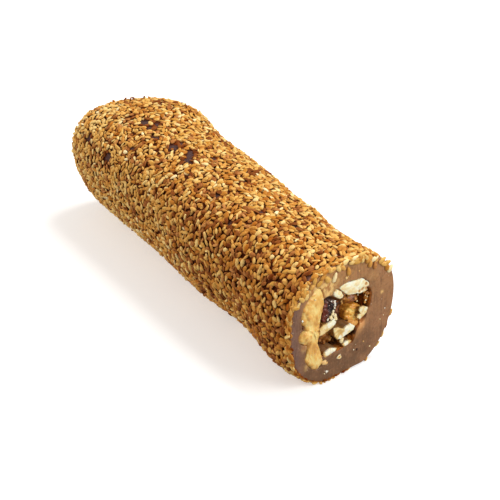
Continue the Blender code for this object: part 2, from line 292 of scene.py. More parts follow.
def closedFaces(rows, sides):
    # Faces of rings of equal count: quads between rings and a fan to a pole at each end.
    here = np.arange(sides)
    there = (here + 1) % sides
    start = (np.arange(rows - 1) * sides)[:, None]
    quads = np.stack([start + here, start + there, start + sides + there, start + sides + here], axis=-1)
    firstPole = np.full(sides, rows * sides)
    lastPole = firstPole + 1
    lastRing = (rows - 1) * sides
    fans = np.concatenate([np.stack([there, here, firstPole], axis=-1),
                           np.stack([lastRing + here, lastRing + there, lastPole], axis=-1)])
    corners = np.concatenate([quads.ravel(), fans.ravel()])
    sizes = np.concatenate([np.full((rows - 1) * sides, 4), np.full(2 * sides, 3)])
    return corners, sizes


def withPoles(grid):
    # One value for every point of closed rings, with the mean of the first and last ring for the poles.
    return np.append(grid.ravel(), [grid[0].mean(), grid[-1].mean()])


def ringMiddles(rings):
    # Poles in the middle of the first and the last ring.
    return [rings[0].mean(axis=0), rings[-1].mean(axis=0)]


def closedPiece(name, rings, poles, material, grids):
    # A closed mesh from rings of points and a pole for each end, with grids of values on its points.
    points = np.concatenate([rings.reshape(-1, 3), poles])
    corners, sizes = closedFaces(*rings.shape[:2])
    attributes = {key: withPoles(grid) for key, grid in grids.items()}
    return meshFromArrays(name, points, corners, sizes, material, attributes)


def ballShape(sides, bands, taper=0.0, thinning=0.0, bluntness=1.0):
    # A ball of radius 1 as points and faces, in rings round the X axis. Towards +X the taper makes it
    # narrower and the thinning flatter, and a bluntness below 1 fills out its sides.
    turn = np.linspace(0.0, 2.0 * math.pi, sides, endpoint=False)
    lean = np.linspace(0.0, math.pi, bands + 1)[1:-1, None]
    along = np.cos(lean) + 0.0 * turn
    across = np.sin(lean) ** bluntness * np.cos(turn) * (1.0 - taper * along)
    upward = np.sin(lean) * np.sin(turn) * (1.0 - thinning * along)
    points = np.stack([along, across, upward], axis=-1).reshape(-1, 3)
    corners, sizes = closedFaces(bands - 1, sides)
    return np.concatenate([points, [[1.0, 0.0, 0.0], [-1.0, 0.0, 0.0]]]), corners, sizes


def joinedCopies(name, points, corners, sizes, material, attributes):
    # One mesh of many copies of a shape: a row of points for each copy, all with the shape's faces.
    count, size = points.shape[:2]
    corners = (corners[None] + (np.arange(count) * size)[:, None]).ravel()
    return meshFromArrays(name, points.reshape(-1, 3), corners, np.tile(sizes, count), material, attributes)


def waves(points, size, seed, count=14, spread=(0.7, 1.4), strength=0.75):
    # Smooth uneven relief: plane waves in random directions, added up, whose lengths lie round one size.
    # The strength keeps it mostly from -1 to 1.
    draw = np.random.default_rng(seed)
    directions = draw.normal(size=(count, 3))
    directions /= np.linalg.norm(directions, axis=1)[:, None]
    lengths = size * draw.uniform(*spread, count)
    starts = draw.uniform(0.0, 2.0 * math.pi, count)
    total = np.zeros(points.shape[:-1])
    for direction, length, start in zip(directions, lengths, starts):
        total += np.sin(points @ direction * (2.0 * math.pi / length) + start)
    return total / math.sqrt(count) * strength


def layeredWaves(points, layers):
    # Waves added up in layers, each given by its size, seed and height.
    return sum(height * waves(points, size, seed) for size, seed, height in layers)


def ringNormals(rings):
    # Square directions off rings of points, from the cross product of the steps round and along them.
    around = np.roll(rings, -1, axis=1) - np.roll(rings, 1, axis=1)
    along = np.gradient(rings, axis=0)
    normals = np.cross(around, along)
    return normals / np.maximum(np.linalg.norm(normals, axis=-1, keepdims=True), 1e-12)


def smooth(share):
    # A share from 0 to 1 with a soft start and end.
    return share * share * (3.0 - 2.0 * share)


# The bar's form, as in the part's own source


bar = {
    "length": 0.132,
    "radius": 0.0214,
    "axisHeight": 0.0207,
    "axisX": 0.0004,
    "axisY": 0.0001,
    "cutYaw": math.radians(-6.5),
    "endYaw": math.radians(16.0),
    "dome": 0.0225,
    "bluntness": 4.4,
    "flatBlend": 0.0005,
    "oval": (0.012, math.radians(94.0)),
    "lobes": (0.041, math.radians(13.0)),
    "squareness": 0.02,
    "edgeAngle": math.radians(37.0),
    "upperEdge": -0.0003,
    "shoulder": (0.0025, 0.14, 0.085),  # height, place and width of a swelling along the upper edge
    "waist": (-0.0027, 0.785, 0.20),
    "lowerEdge": -0.0004,
    "belly": (0.0013, 0.57, 0.14),
    "rimSwell": (0.0031, 0.92, 0.105),
}

mouth = {
    "outline": (
        (-8.4, 30.0), (-4.3, 30.0), (-0.1, 28.2), (5.6, 26.9), (10.0, 26.9), (11.0, 24.0),
        (10.2, 19.8), (7.4, 16.6), (5.6, 14.0), (3.6, 10.2), (-0.8, 9.6), (-6.5, 9.2),
        (-9.8, 11.2), (-10.6, 15.5), (-10.1, 21.0), (-9.2, 26.5),
    ),
    "centre": (-0.2, 19.6),
    "coreRadius": 0.0086,
    "coreLump": 0.0011,
    "ovalDrift": 250.0,  # how the core's lumps follow each other, in radians for each metre
    "lobeBeat": 420.0,
    "lobeDrift": 130.0,
    "coreStart": 0.0055,
    "coreRise": 0.0009,  # height of the relief on the core's front
    "coreEnd": 0.112,
    "fade": 0.012,
    "gap": 0.0003,
}


def hump(along, swelling):
    # A swelling's height times the bell curve of the distance from its place over its width.
    height, place, width = swelling
    return height * np.exp(-(((along - place) / width) ** 2))


def endTaper(distance):
    # Share of the full radius at a distance from the rounded end's tip, as a blunt superellipse.
    left = np.clip(1.0 - distance / bar["dome"], 0.0, 1.0)
    return (1.0 - left ** bar["bluntness"]) ** (1.0 / bar["bluntness"])


def skinWays(count=2001):
    # The way along the skin for each distance from the tip: the arc length of the tapered radius, set so
    # that it equals the distance past the dome. It starts below 0, at the tip.
    share = np.sin(np.linspace(0.0, 0.5 * math.pi, count)) ** 3
    power = bar["bluntness"]
    byRadius = bar["dome"] * (1.0 - (1.0 - share ** power) ** (1.0 / power))
    distance = np.unique(np.concatenate([byRadius, bar["dome"] * share]))
    radius = bar["radius"] * endTaper(distance)
    way = np.append(0.0, np.cumsum(np.hypot(np.diff(distance), np.diff(radius))))
    way = way - way[-1] + bar["dome"]
    beyond = bar["dome"] + bar["length"]
    return np.append(way, beyond), np.append(distance, beyond)


profileWay, profileDistance = skinWays()
tipWay = profileWay[0]


def barRadius(along, angle):
    # Radius for a share of the length and an angle: the round section plus its two long edges.
    oval, ovalTurn = bar["oval"]
    lobes, lobesTurn = bar["lobes"]
    roundness = 1.0 + oval * np.cos(2.0 * angle + ovalTurn) + lobes * np.sin(3.0 * angle + lobesTurn)
    roundness = roundness - bar["squareness"] * np.cos(4.0 * angle)
    upper = bar["upperEdge"] + hump(along, bar["shoulder"]) + hump(along, bar["waist"])
    lower = bar["lowerEdge"] + hump(along, bar["belly"]) + hump(along, bar["rimSwell"])
    side = np.cos(angle - bar["edgeAngle"])
    edges = upper * np.maximum(side, 0.0) ** 2 + lower * np.maximum(-side, 0.0) ** 2
    return bar["radius"] * roundness + edges


def settle(height, floor):
    # Heights below a floor become the floor, with a short parabola as the blend above it.
    blend = bar["flatBlend"]
    above = height - floor
    curve = (above + blend) ** 2 / (4.0 * blend)
    return floor + np.where(above <= -blend, 0.0, np.where(above >= blend, above, curve))


def skinPoint(distance, angle, inset, floor):
    # Point of the skin: the tapered radius turned round the axis, slanted at both ends, settled on a floor.
    along = distance / bar["length"]
    radius = (barRadius(along, angle) - inset) * endTaper(distance)
    side = radius * np.cos(angle)
    x = distance - bar["length"] / 2.0 + bar["axisX"]
    x = x + math.tan(bar["cutYaw"]) * side * along ** 3 + math.tan(bar["endYaw"]) * side * (1.0 - along) ** 4
    z = settle(bar["axisHeight"] + radius * np.sin(angle), floor)
    return np.stack(np.broadcast_arrays(x, side + bar["axisY"], z), axis=-1)


def cutPoint(side, height, depth):
    # Point behind the cut: sideways on its plane, up from the floor and in from the plane.
    yaw = bar["cutYaw"]
    side, height, depth = np.broadcast_arrays(side, height, depth)
    x = bar["length"] / 2.0 + bar["axisX"] + side * math.sin(yaw) - depth * math.cos(yaw)
    y = bar["axisY"] + side * math.cos(yaw) + depth * math.sin(yaw)
    return np.stack([x, y, height], axis=-1)


def cutPlace(points):
    # The reverse of cutPoint: sideways, height and depth of points in space.
    yaw = bar["cutYaw"]
    x = points[..., 0] - bar["length"] / 2.0 - bar["axisX"]
    y = points[..., 1] - bar["axisY"]
    return x * math.sin(yaw) + y * math.cos(yaw), points[..., 2], y * math.sin(yaw) - x * math.cos(yaw)


def smoothOutline(points, count, tension=0.38, steps=12):
    # Closed cubic curve through points in millimetres, as evenly spaced points in metres. Each point
    # pulls the curve along the line between its neighbours by the tension.
    corners = (np.array(points) * mm)[:, None, :]
    after = np.roll(corners, -1, axis=0)
    pull = tension * (after - np.roll(corners, 1, axis=0))
    pullAfter = np.roll(pull, -1, axis=0)
    t = np.linspace(0.0, 1.0, steps, endpoint=False)[None, :, None]
    curve = corners * (1.0 - smooth(t)) + after * smooth(t)
    curve = (curve + t * (1.0 - t) * ((1.0 - t) * pull - t * pullAfter)).reshape(-1, 2)
    curve = np.vstack([curve, curve[:1]])
    reached = np.concatenate([[0.0], np.cumsum(np.linalg.norm(np.diff(curve, axis=0), axis=1))])
    wanted = np.linspace(0.0, reached[-1], count, endpoint=False)
    return np.stack([np.interp(wanted, reached, curve[:, axis]) for axis in (0, 1)], axis=-1)


def outlineRadii(outline, centre, angles, count=180):
    # Distance from a centre to an outline at each angle.
    edge = smoothOutline(outline, count) - np.array(centre) * mm
    turn = np.arctan2(edge[:, 1], edge[:, 0])
    order = np.argsort(turn)
    return np.interp(angles, turn[order], np.hypot(edge[:, 0], edge[:, 1])[order], period=2.0 * math.pi)


def fillingRings(depths, angles, swell):
    # Rings of the filling: the mouth's outline fades with depth into walnut lumps in a row.
    depth = depths[:, None]
    fade = smooth(np.clip(depth / mouth["fade"], 0.0, 1.0))
    lumps = mouth["coreRadius"] + mouth["coreLump"] * np.sin(2.0 * angles + mouth["ovalDrift"] * depth)
    lobes = np.cos(3.0 * angles - mouth["lobeDrift"] * depth)
    lumps = lumps + mouth["coreLump"] * np.sin(mouth["lobeBeat"] * depth) * lobes
    radius = outlineRadii(mouth["outline"], mouth["centre"], angles) * (1.0 - fade) + lumps * fade + swell
    side = mouth["centre"][0] * mm - math.tan(bar["cutYaw"]) * depth * fade + radius * np.cos(angles)
    return cutPoint(side, mouth["centre"][1] * mm + radius * np.sin(angles), depth)


def fillingDepths(start, nearStep, farStep, end):
    # Depths for the filling's rings: close together while the outline fades, further apart behind.
    near = np.arange(start + nearStep, mouth["fade"], nearStep)
    return np.concatenate([near, np.arange(mouth["fade"], end, farStep)])


def turnFrom(angle, degrees):
    # Angle from a direction given in degrees, from half a turn back to half a turn on.
    return (angle - math.radians(degrees) + math.pi) % (2.0 * math.pi) - math.pi


def awayFrom(side, height, spot):
    # Distance of places on the cut from a spot's middle, over its radius.
    spotSide, spotHeight, radius, _ = spot
    return np.hypot(side - spotSide * mm, height - spotHeight * mm) / (radius * mm)


def patchTint(side, height, patches):
    # Strength of patches on the cut: each is a flat bell curve, and the strongest counts.
    tint = np.zeros(side.shape)
    for patch in patches:
        tint = np.maximum(tint, patch[-1] * np.exp(-awayFrom(side, height, patch) ** 3))
    return tint


def bumpHeight(side, height, bumps):
    # Bumps on the cut added up, each a bell curve.
    total = np.zeros(side.shape)
    for bump in bumps:
        total = total + bump[-1] * np.exp(-awayFrom(side, height, bump) ** 2)
    return total


# Jelly


jelly = {
    "inset": 0.45 * mm,  # the coat stands on a skin a little inside the part's
    "rimInset": 0.10 * mm,  # and sinks into it at the cut
    "rimReach": 2.6 * mm,
    "swell": 0.25 * mm,  # how much further it swells where the seeds are pressed into it
    "pressedSide": (-20.0, 3.0, 1.0),  # where that is round the bar, as sideShare takes it
    "pressedReach": 2.6 * mm,
    "pressedStart": 1.6,  # how many reaches before the cut it starts
    "coatGap": 2.2 * mm,  # most that the coat ends short of the cut
    "gapSide": (-15.0, 3.0, 0.9),
    "gapFade": 0.6 * mm,
    "spotFade": 0.9 * mm,
    "floor": 0.45 * mm,  # room for the seeds under the bar
    "rimRound": 0.4 * mm,
    "lipRound": 0.9 * mm,
    "endRoom": 2.0 * mm,  # how far the pocket goes on behind the filling
    "endDome": 0.5 * mm,  # and how far its end bulges
    "seatDepth": 1.4 * mm,  # how far the cut face sinks where a walnut lies in it
    "seatSlope": 0.3 * mm,
    "seatMargin": 0.6,  # how many slopes outside a walnut's outline the sinking starts
    "sag": ((14.0 * mm, 3, 0.10 * mm),),  # the cut face's slow waves, as layers: size, seed and height
    "knife": 0.015 * mm,  # height of the knife's fine marks, their distance and how they bend, as layers
    "knifeStep": 0.55 * mm,
    "knifeSway": ((30.0 * mm, 4, 4.0),),
    "wallLump": 0.7 * mm,  # relief of the pocket's walls
    "wallLayers": ((4.2 * mm, 5, 0.5), (2.0 * mm, 6, 0.35), (0.9 * mm, 7, 0.12)),
    "wallStep": 0.4 * mm,  # distance of the wall's rings where the mouth's outline fades and behind that
    "farStep": 3.0 * mm,
    "sides": 288,
    "domeRings": 47,
    "runRings": 119,
    "rimRings": 7,
    "faceRings": 82,
    "lipRings": 7,
    "seatRings": 4,  # rings of the skin that sink with the cut face
    "lipOnFace": 3,  # rings of the lip that look like the cut face
}

# Amber patches on the cut face: sideways and height in millimetres, radius and strength.
amberPatches = (
    (-9.6, 33.8, 2.7, 1.0), (-12.6, 35.9, 2.3, 0.9), (-7.2, 35.0, 2.6, 0.95), (-8.6, 37.0, 2.1, 0.8),
    (-5.4, 33.6, 1.8, 0.8), (-13.0, 32.8, 1.5, 0.7), (-6.6, 32.0, 1.8, 0.9), (-2.6, 34.6, 1.4, 0.35),
    (-16.2, 16.3, 1.4, 0.4), (15.5, 23.1, 0.7, 0.8), (12.0, 30.5, 2.0, 0.15), (-15.0, 8.6, 1.2, 0.4),
    (-13.9, 12.6, 1.1, 0.5),
)

# The orange glow beside the hollow, where the jelly is thin, in the same form.
glowPatches = (
    (6.0, 16.0, 1.9, 1.0), (6.9, 15.0, 2.1, 0.75), (6.2, 13.4, 1.8, 0.35), (4.6, 12.0, 1.6, 0.25),
)

# Bare spots in the coat: way along the bar in millimetres, angle round it in degrees and radius.
bareSpots = (
    (25.4, 103.0, 1.4), (29.8, 104.0, 0.9), (28.6, 96.0, 0.6), (35.8, 110.0, 0.8), (33.8, 130.0, 0.6),
    (26.8, 150.0, 1.2), (14.6, 147.0, 0.9), (15.6, 73.0, 0.6), (44.6, 106.0, 1.3), (44.0, 97.0, 0.9),
    (50.8, 98.0, 1.1), (54.6, 108.0, 1.5), (52.6, 103.0, 0.8), (45.2, 56.0, 0.5), (43.0, 65.0, 0.5),
    (58.0, 86.0, 0.6), (68.6, 44.0, 0.5), (70.0, 68.0, 0.8), (75.4, 86.0, 0.7), (75.6, 97.0, 0.7),
    (77.4, 118.0, 0.6), (91.0, 131.0, 0.6), (94.0, 105.0, 0.6), (97.4, 118.0, 0.7), (106.4, 92.0, 0.6),
    (108.0, 80.0, 0.5), (111.0, 102.0, 0.6), (38.0, -60.0, 1.1), (88.0, 20.0, 0.9), (64.0, -110.0, 1.0),
    (104.0, -35.0, 0.8), (20.0, 10.0, 0.9), (56.0, -12.0, 0.8), (130.2, 125.5, 0.9),
)

# Places where the bar stands out from the part's own form, in by a minus: way and angle, their widths
# and the height, in millimetres and degrees.
swellings = (
    (95.0, 40.0, 8.5, 24.0, 1.1),
    (132.0, -115.0, 9.0, 23.0, -0.8),
    (132.0, -70.0, 9.0, 24.0, 0.3),
    (132.0, -148.0, 7.0, 17.0, 0.5),
)


def swellHeight(way, angle):
    # The swellings added up, each a bell curve of the way and of the angle round the bar.
    total = 0.0 * (way + angle)
    for placeWay, placeAngle, widthWay, widthAngle, height in swellings:
        sideways = turnFrom(angle, placeAngle) / math.radians(widthAngle)
        away = ((way - placeWay * mm) / (widthWay * mm)) ** 2 + sideways ** 2
        total = total + height * mm * np.exp(-away)
    return total


def rimShare(way):
    # 0 over most of the bar, up to 1 at the cut, where the jelly swells out between the seeds.
    share = np.clip((way - bar["length"]) / jelly["rimReach"] + 1.0, 0.0, 1.0)
    return share * share


def sideShare(angle, side):
    # 1 round one side of the bar and 0 elsewhere, from its middle in degrees, a steepness and a limit: the
    # steepness times the cosine of the angle from the middle, less the limit, held from 0 to 1.
    middle, steepness, limit = side
    return np.clip(steepness * np.cos(angle - math.radians(middle)) - limit, 0.0, 1.0)


def pressedShare(way, angle):
    # 1 by the cut on the bar's right and lower right, where the coat is pressed flat, 0 elsewhere.
    share = (way - bar["length"]) / jelly["pressedReach"] + jelly["pressedStart"]
    return np.clip(share, 0.0, 1.0) * sideShare(angle, jelly["pressedSide"])


def coatGap(angle):
    # How far short of the cut the coat ends: nowhere on the left, most of it on the right.
    return jelly["coatGap"] * sideShare(angle, jelly["gapSide"])


def jellySkin(way, angle):
    # Point at a way along the skin, tipWay at the rounded tip: the dome and the run, then a quarter
    # circle over the rim, where the way goes on from the run's end.
    rimRound = jelly["rimRound"]
    runEnd = bar["length"] - rimRound
    turn = np.clip((way - runEnd) / rimRound, 0.0, 0.5 * math.pi)
    distance = np.interp(np.minimum(way, runEnd), profileWay, profileDistance) + rimRound * np.sin(turn)
    inset = jelly["inset"] + (jelly["rimInset"] - jelly["inset"]) * rimShare(way)
    inset = inset - jelly["swell"] * pressedShare(way, angle) - swellHeight(way, angle)
    return skinPoint(distance, angle, inset + rimRound * (1.0 - np.cos(turn)), jelly["floor"])


def edgeDistance(side, height, outline, count=60):
    # Signed distance of points from a closed outline, positive inside, from its nearest stretch.
    start = smoothOutline(outline, count)
    step = np.roll(start, -1, axis=0) - start
    place = np.stack([side, height], axis=-1)[..., None, :]
    share = np.clip(((place - start) * step).sum(-1) / (step ** 2).sum(-1), 0.0, 1.0)
    nearest = np.linalg.norm(place - start - share[..., None] * step, axis=-1).min(-1)
    y, x = place[..., 1], place[..., 0]
    above = start[:, 1] > y
    crossing = above != (np.roll(start[:, 1], -1) > y)
    slope = step[:, 0] / np.where(step[:, 1] == 0.0, 1e-12, step[:, 1])
    inside = (crossing & (x < start[:, 0] + (y - start[:, 1]) * slope)).sum(-1) % 2 == 1
    return np.where(inside, nearest, -nearest)


def faceRings(rim, lip, count):
    # Rings over the cut face: straight lines from the rim in to the mouth, closer together at both ends.
    even = np.linspace(0.0, 1.0, count + 2)
    share = (0.5 * (0.5 - 0.5 * np.cos(math.pi * even)) + 0.5 * even)[1:-1, None, None]
    return rim * (1.0 - share) + lip * share


def spotDistance(way, angle, spot):
    # Distance over the skin from a bare spot's middle, less its radius.
    spotWay, spotAngle, radius = spot
    return np.hypot(way - spotWay * mm, turnFrom(angle, spotAngle) * bar["radius"]) - radius * mm


def bareShare(way, angle):
    # 1 where the skin is bare, which is at the bare spots and beyond the coat's end, with soft edges.
    gap = coatGap(angle)
    bare = np.clip((way - bar["length"] + gap) / jelly["gapFade"], 0.0, 1.0) * (gap > 0.0)
    for spot in bareSpots:
        near = 1.0 - spotDistance(way, angle, spot) / jelly["spotFade"]
        bare = np.maximum(bare, np.clip(near, 0.0, 1.0))
    return bare


def seatShare(side, height):
    # 1 on the cut where a walnut piece lies, 0 elsewhere, from the distance inside each outline.
    seat = np.zeros(side.shape)
    for values in nuts.values():
        inside = edgeDistance(side, height, values["outline"]) / jelly["seatSlope"]
        seat = np.maximum(seat, np.clip(inside + jelly["seatMargin"], 0.0, 1.0))
    return smooth(seat)


def skinWaysToRim():
    # Ways of the skin's rings: over the dome, along the run and round the rim's quarter circle.
    runEnd = bar["length"] - jelly["rimRound"]
    dome = np.linspace(tipWay, bar["dome"], jelly["domeRings"] + 1)[1:]
    run = np.linspace(bar["dome"], runEnd, jelly["runRings"] + 1)[1:]
    rounding = runEnd + jelly["rimRound"] * np.linspace(0.0, 0.5 * math.pi, jelly["rimRings"] + 1)[1:]
    return np.concatenate([dome, run, rounding])[:, None]


def lipRings(angles):
    # Rings from the cut face into the pocket: the mouth's outline widened by a quarter circle.
    turn = np.linspace(0.0, 0.5 * math.pi, jelly["lipRings"])[:, None]
    radii = outlineRadii(mouth["outline"], mouth["centre"], angles)
    radii = radii + jelly["lipRound"] * (1.0 - np.sin(turn))
    centre = np.array(mouth["centre"]) * mm
    return cutPoint(centre[0] + radii * np.cos(angles), centre[1] + radii * np.sin(angles),
                    jelly["lipRound"] * (1.0 - np.cos(turn)))


def inRows(shape, first, last=None):
    # 1 in the rings from the first up to the last, 0 in the others.
    share = np.zeros(shape)
    share[first:last] = 1.0
    return share


def makeJelly(material):
    # Rings over the skin, the cut face, the mouth's lip and the pocket's walls. The cut face sinks under
    # the walnuts, by slow waves and by the knife's marks, and waves of three sizes move the walls.
    angles = np.linspace(0.0, 2.0 * math.pi, jelly["sides"], endpoint=False)
    way = skinWaysToRim()
    skin = jellySkin(way, angles)
    lip = lipRings(angles)
    wallEnd = mouth["coreEnd"] + jelly["endRoom"]
    depths = fillingDepths(jelly["lipRound"], jelly["wallStep"], jelly["farStep"], wallEnd)
    wall = fillingRings(depths, angles, mouth["gap"])
    rings = np.concatenate([skin, faceRings(skin[-1], lip[0], jelly["faceRings"]), lip, wall])
    side, height, depth = cutPlace(rings)

    faceStart = len(skin)
    lipStart = faceStart + jelly["faceRings"]
    lipEnd = lipStart + len(lip)
    onFace = inRows(side.shape, faceStart, lipEnd)
    cutFace = inRows(side.shape, faceStart - jelly["rimRings"], lipEnd)
    pocket = inRows(side.shape, lipStart + jelly["lipOnFace"])
    bare = np.zeros(side.shape)
    bare[:faceStart] = bareShare(way, angles)
    seat = np.zeros(side.shape)
    sunk = slice(faceStart - jelly["seatRings"], lipEnd)
    seat[sunk] = seatShare(side[sunk], height[sunk])

    marks = np.sin(height / jelly["knifeStep"] + layeredWaves(rings, jelly["knifeSway"])) * jelly["knife"]
    sink = jelly["seatDepth"] * seat + onFace * (layeredWaves(rings, jelly["sag"]) + marks)
    rings = cutPoint(side, height, depth + sink * (1.0 - pocket))
    lumps = layeredWaves(rings, jelly["wallLayers"]) * pocket
    rings = rings - ringNormals(rings) * (jelly["wallLump"] * lumps)[..., None]

    tip = jellySkin(np.full(1, tipWay), np.zeros(1))[0]
    bottom = rings[-1].mean(axis=0) - np.array([jelly["endDome"], 0.0, 0.0])
    made = closedPiece("jelly", rings, [tip, bottom], material, {
        "pocket": pocket, "cutFace": cutFace, "bare": bare, "lumps": lumps,
        "amber": patchTint(side, height, amberPatches) * onFace,
        "glow": patchTint(side, height, glowPatches) * onFace})
    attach(made, "root")
    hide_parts("lokum_bar")


jellyTones = {
    "top": shade(178, 127, 76),
    "right": shade(176, 124, 84),
    # low: painted shade, the cut face's darker tone low down
    "low": shade(118, 82, 52),
    "left": shade(116, 86, 80),
    "marks": shade(96, 66, 44),
    "grain": shade(190, 146, 110),
    # outside: the skin under the seeds, its brown darkened as painted shade for the gaps between them
    "outside": shade(78, 28, 0),
    "bare": shade(84, 60, 56),
    "nearBare": shade(138, 98, 84),
    "amber": shade(252, 208, 130),
    "amberDeep": shade(184, 124, 66),
    "glow": shade(242, 172, 102),
    # The pocket walls' tones, as painted light on their bumps and painted shade in their dips:
    "wallLight": shade(196, 116, 42),
    "wallDark": shade(62, 28, 6),
    "speck": shade(226, 200, 168),
}

# Where its tone changes, as the coordinates in metres between which it does.
jellyChanges = {
    # heights over which the cut face's painted shade fades out upwards
    "upwards": (0.004, 0.036),
    "leftRim": (-0.014, -0.020),
    "rightSide": (0.002, 0.017),
    "nearCut": (0.056, 0.063),
}


def jellyMaterial():
    # Cut starch jelly: taupe brown, paler towards the right and greyer at the left rim, with painted shade
    # that darkens it towards the bottom, knife marks, fine grain, amber patches and pale specks. Its pocket
    # is amber, with painted shade in its walls' dips and painted light on their bumps; its skin is brown,
    # darkened as painted shade between the seeds.
    recipe = Recipe("jelly")
    tones, changes = jellyTones, jellyChanges
    cutFace = recipe.attribute("cutFace")
    # Painted shade: the cut face blends from its darker low tone up to its top tone.
    upwards = recipe.rise(recipe.coordinate("Z"), *changes["upwards"])
    leftRim = recipe.rise(recipe.coordinate("Y"), *changes["leftRim"])
    rightSide = recipe.rise(recipe.coordinate("Y"), *changes["rightSide"])
    nearCut = recipe.rise(recipe.coordinate("X"), *changes["nearCut"])
    patches = recipe.noise(6.0 * mm, 4.0, 0.6)
    marks = recipe.noise(0.8 * mm, 4.0, 0.6)
    streaks = recipe.noise(1.0 * mm, 3.0, 0.6, (1.0, 1.0, 0.16))
    amberStreaks = recipe.noise(1.2 * mm, 3.0, 0.6, (1.0, 1.0, 0.55))
    amberBody = recipe.blend(recipe.rise(amberStreaks, 0.38, 0.62), tones["amberDeep"], tones["amber"])
    specks = 1.0 - recipe.rise(recipe.speckle(2.6 * mm), 0.05, 0.10)
    cut = recipe.layers(
        recipe.blend(upwards, tones["low"], tones["top"]),
        (rightSide * 0.45, tones["right"]),
        (recipe.rise(patches, 0.45, 0.70) * 0.5, tones["right"]),
        (recipe.rise(patches, 0.50, 0.30) * 0.4, tones["marks"]),
        (leftRim * 0.7, tones["left"]),
        (recipe.rise(streaks, 0.48, 0.75) * 0.6, tones["marks"]),
        (recipe.rise(marks, 0.50, 0.75) * 0.5, tones["marks"]),
        (recipe.rise(marks, 0.46, 0.30) * 0.2, tones["grain"]),
        (recipe.attribute("amber"), amberBody),
        (recipe.attribute("glow"), tones["glow"]),
        (specks * 0.5, tones["speck"]))
    bare = recipe.blend(nearCut, tones["bare"], tones["nearBare"])
    # Painted shade and painted light: the walls darker in their dips, lighter on their bumps.
    wallTone = recipe.attribute("lumps") * 0.7 + recipe.noise(1.6 * mm, 3.0)
    walls = recipe.blend(recipe.rise(wallTone, 0.0, 0.9), tones["wallDark"], tones["wallLight"])
    return recipe.finish(
        Base_Color=recipe.layers(
            tones["outside"],
            (recipe.attribute("bare"), bare),
            (cutFace, cut),
            (recipe.attribute("pocket"), walls)),
        Roughness=0.85 - 0.5 * cutFace + 0.16 * marks,
        Normal=recipe.bump(marks, 0.06 * mm),
        Subsurface_Weight=0.18,
        Subsurface_Radius=(1.0, 0.45, 0.25),
        Subsurface_Scale=1.6 * mm,
        Specular_IOR_Level=0.18,
        Coat_Weight=0.25 * cutFace,
        Coat_Roughness=0.3)


# Walnuts at the cut


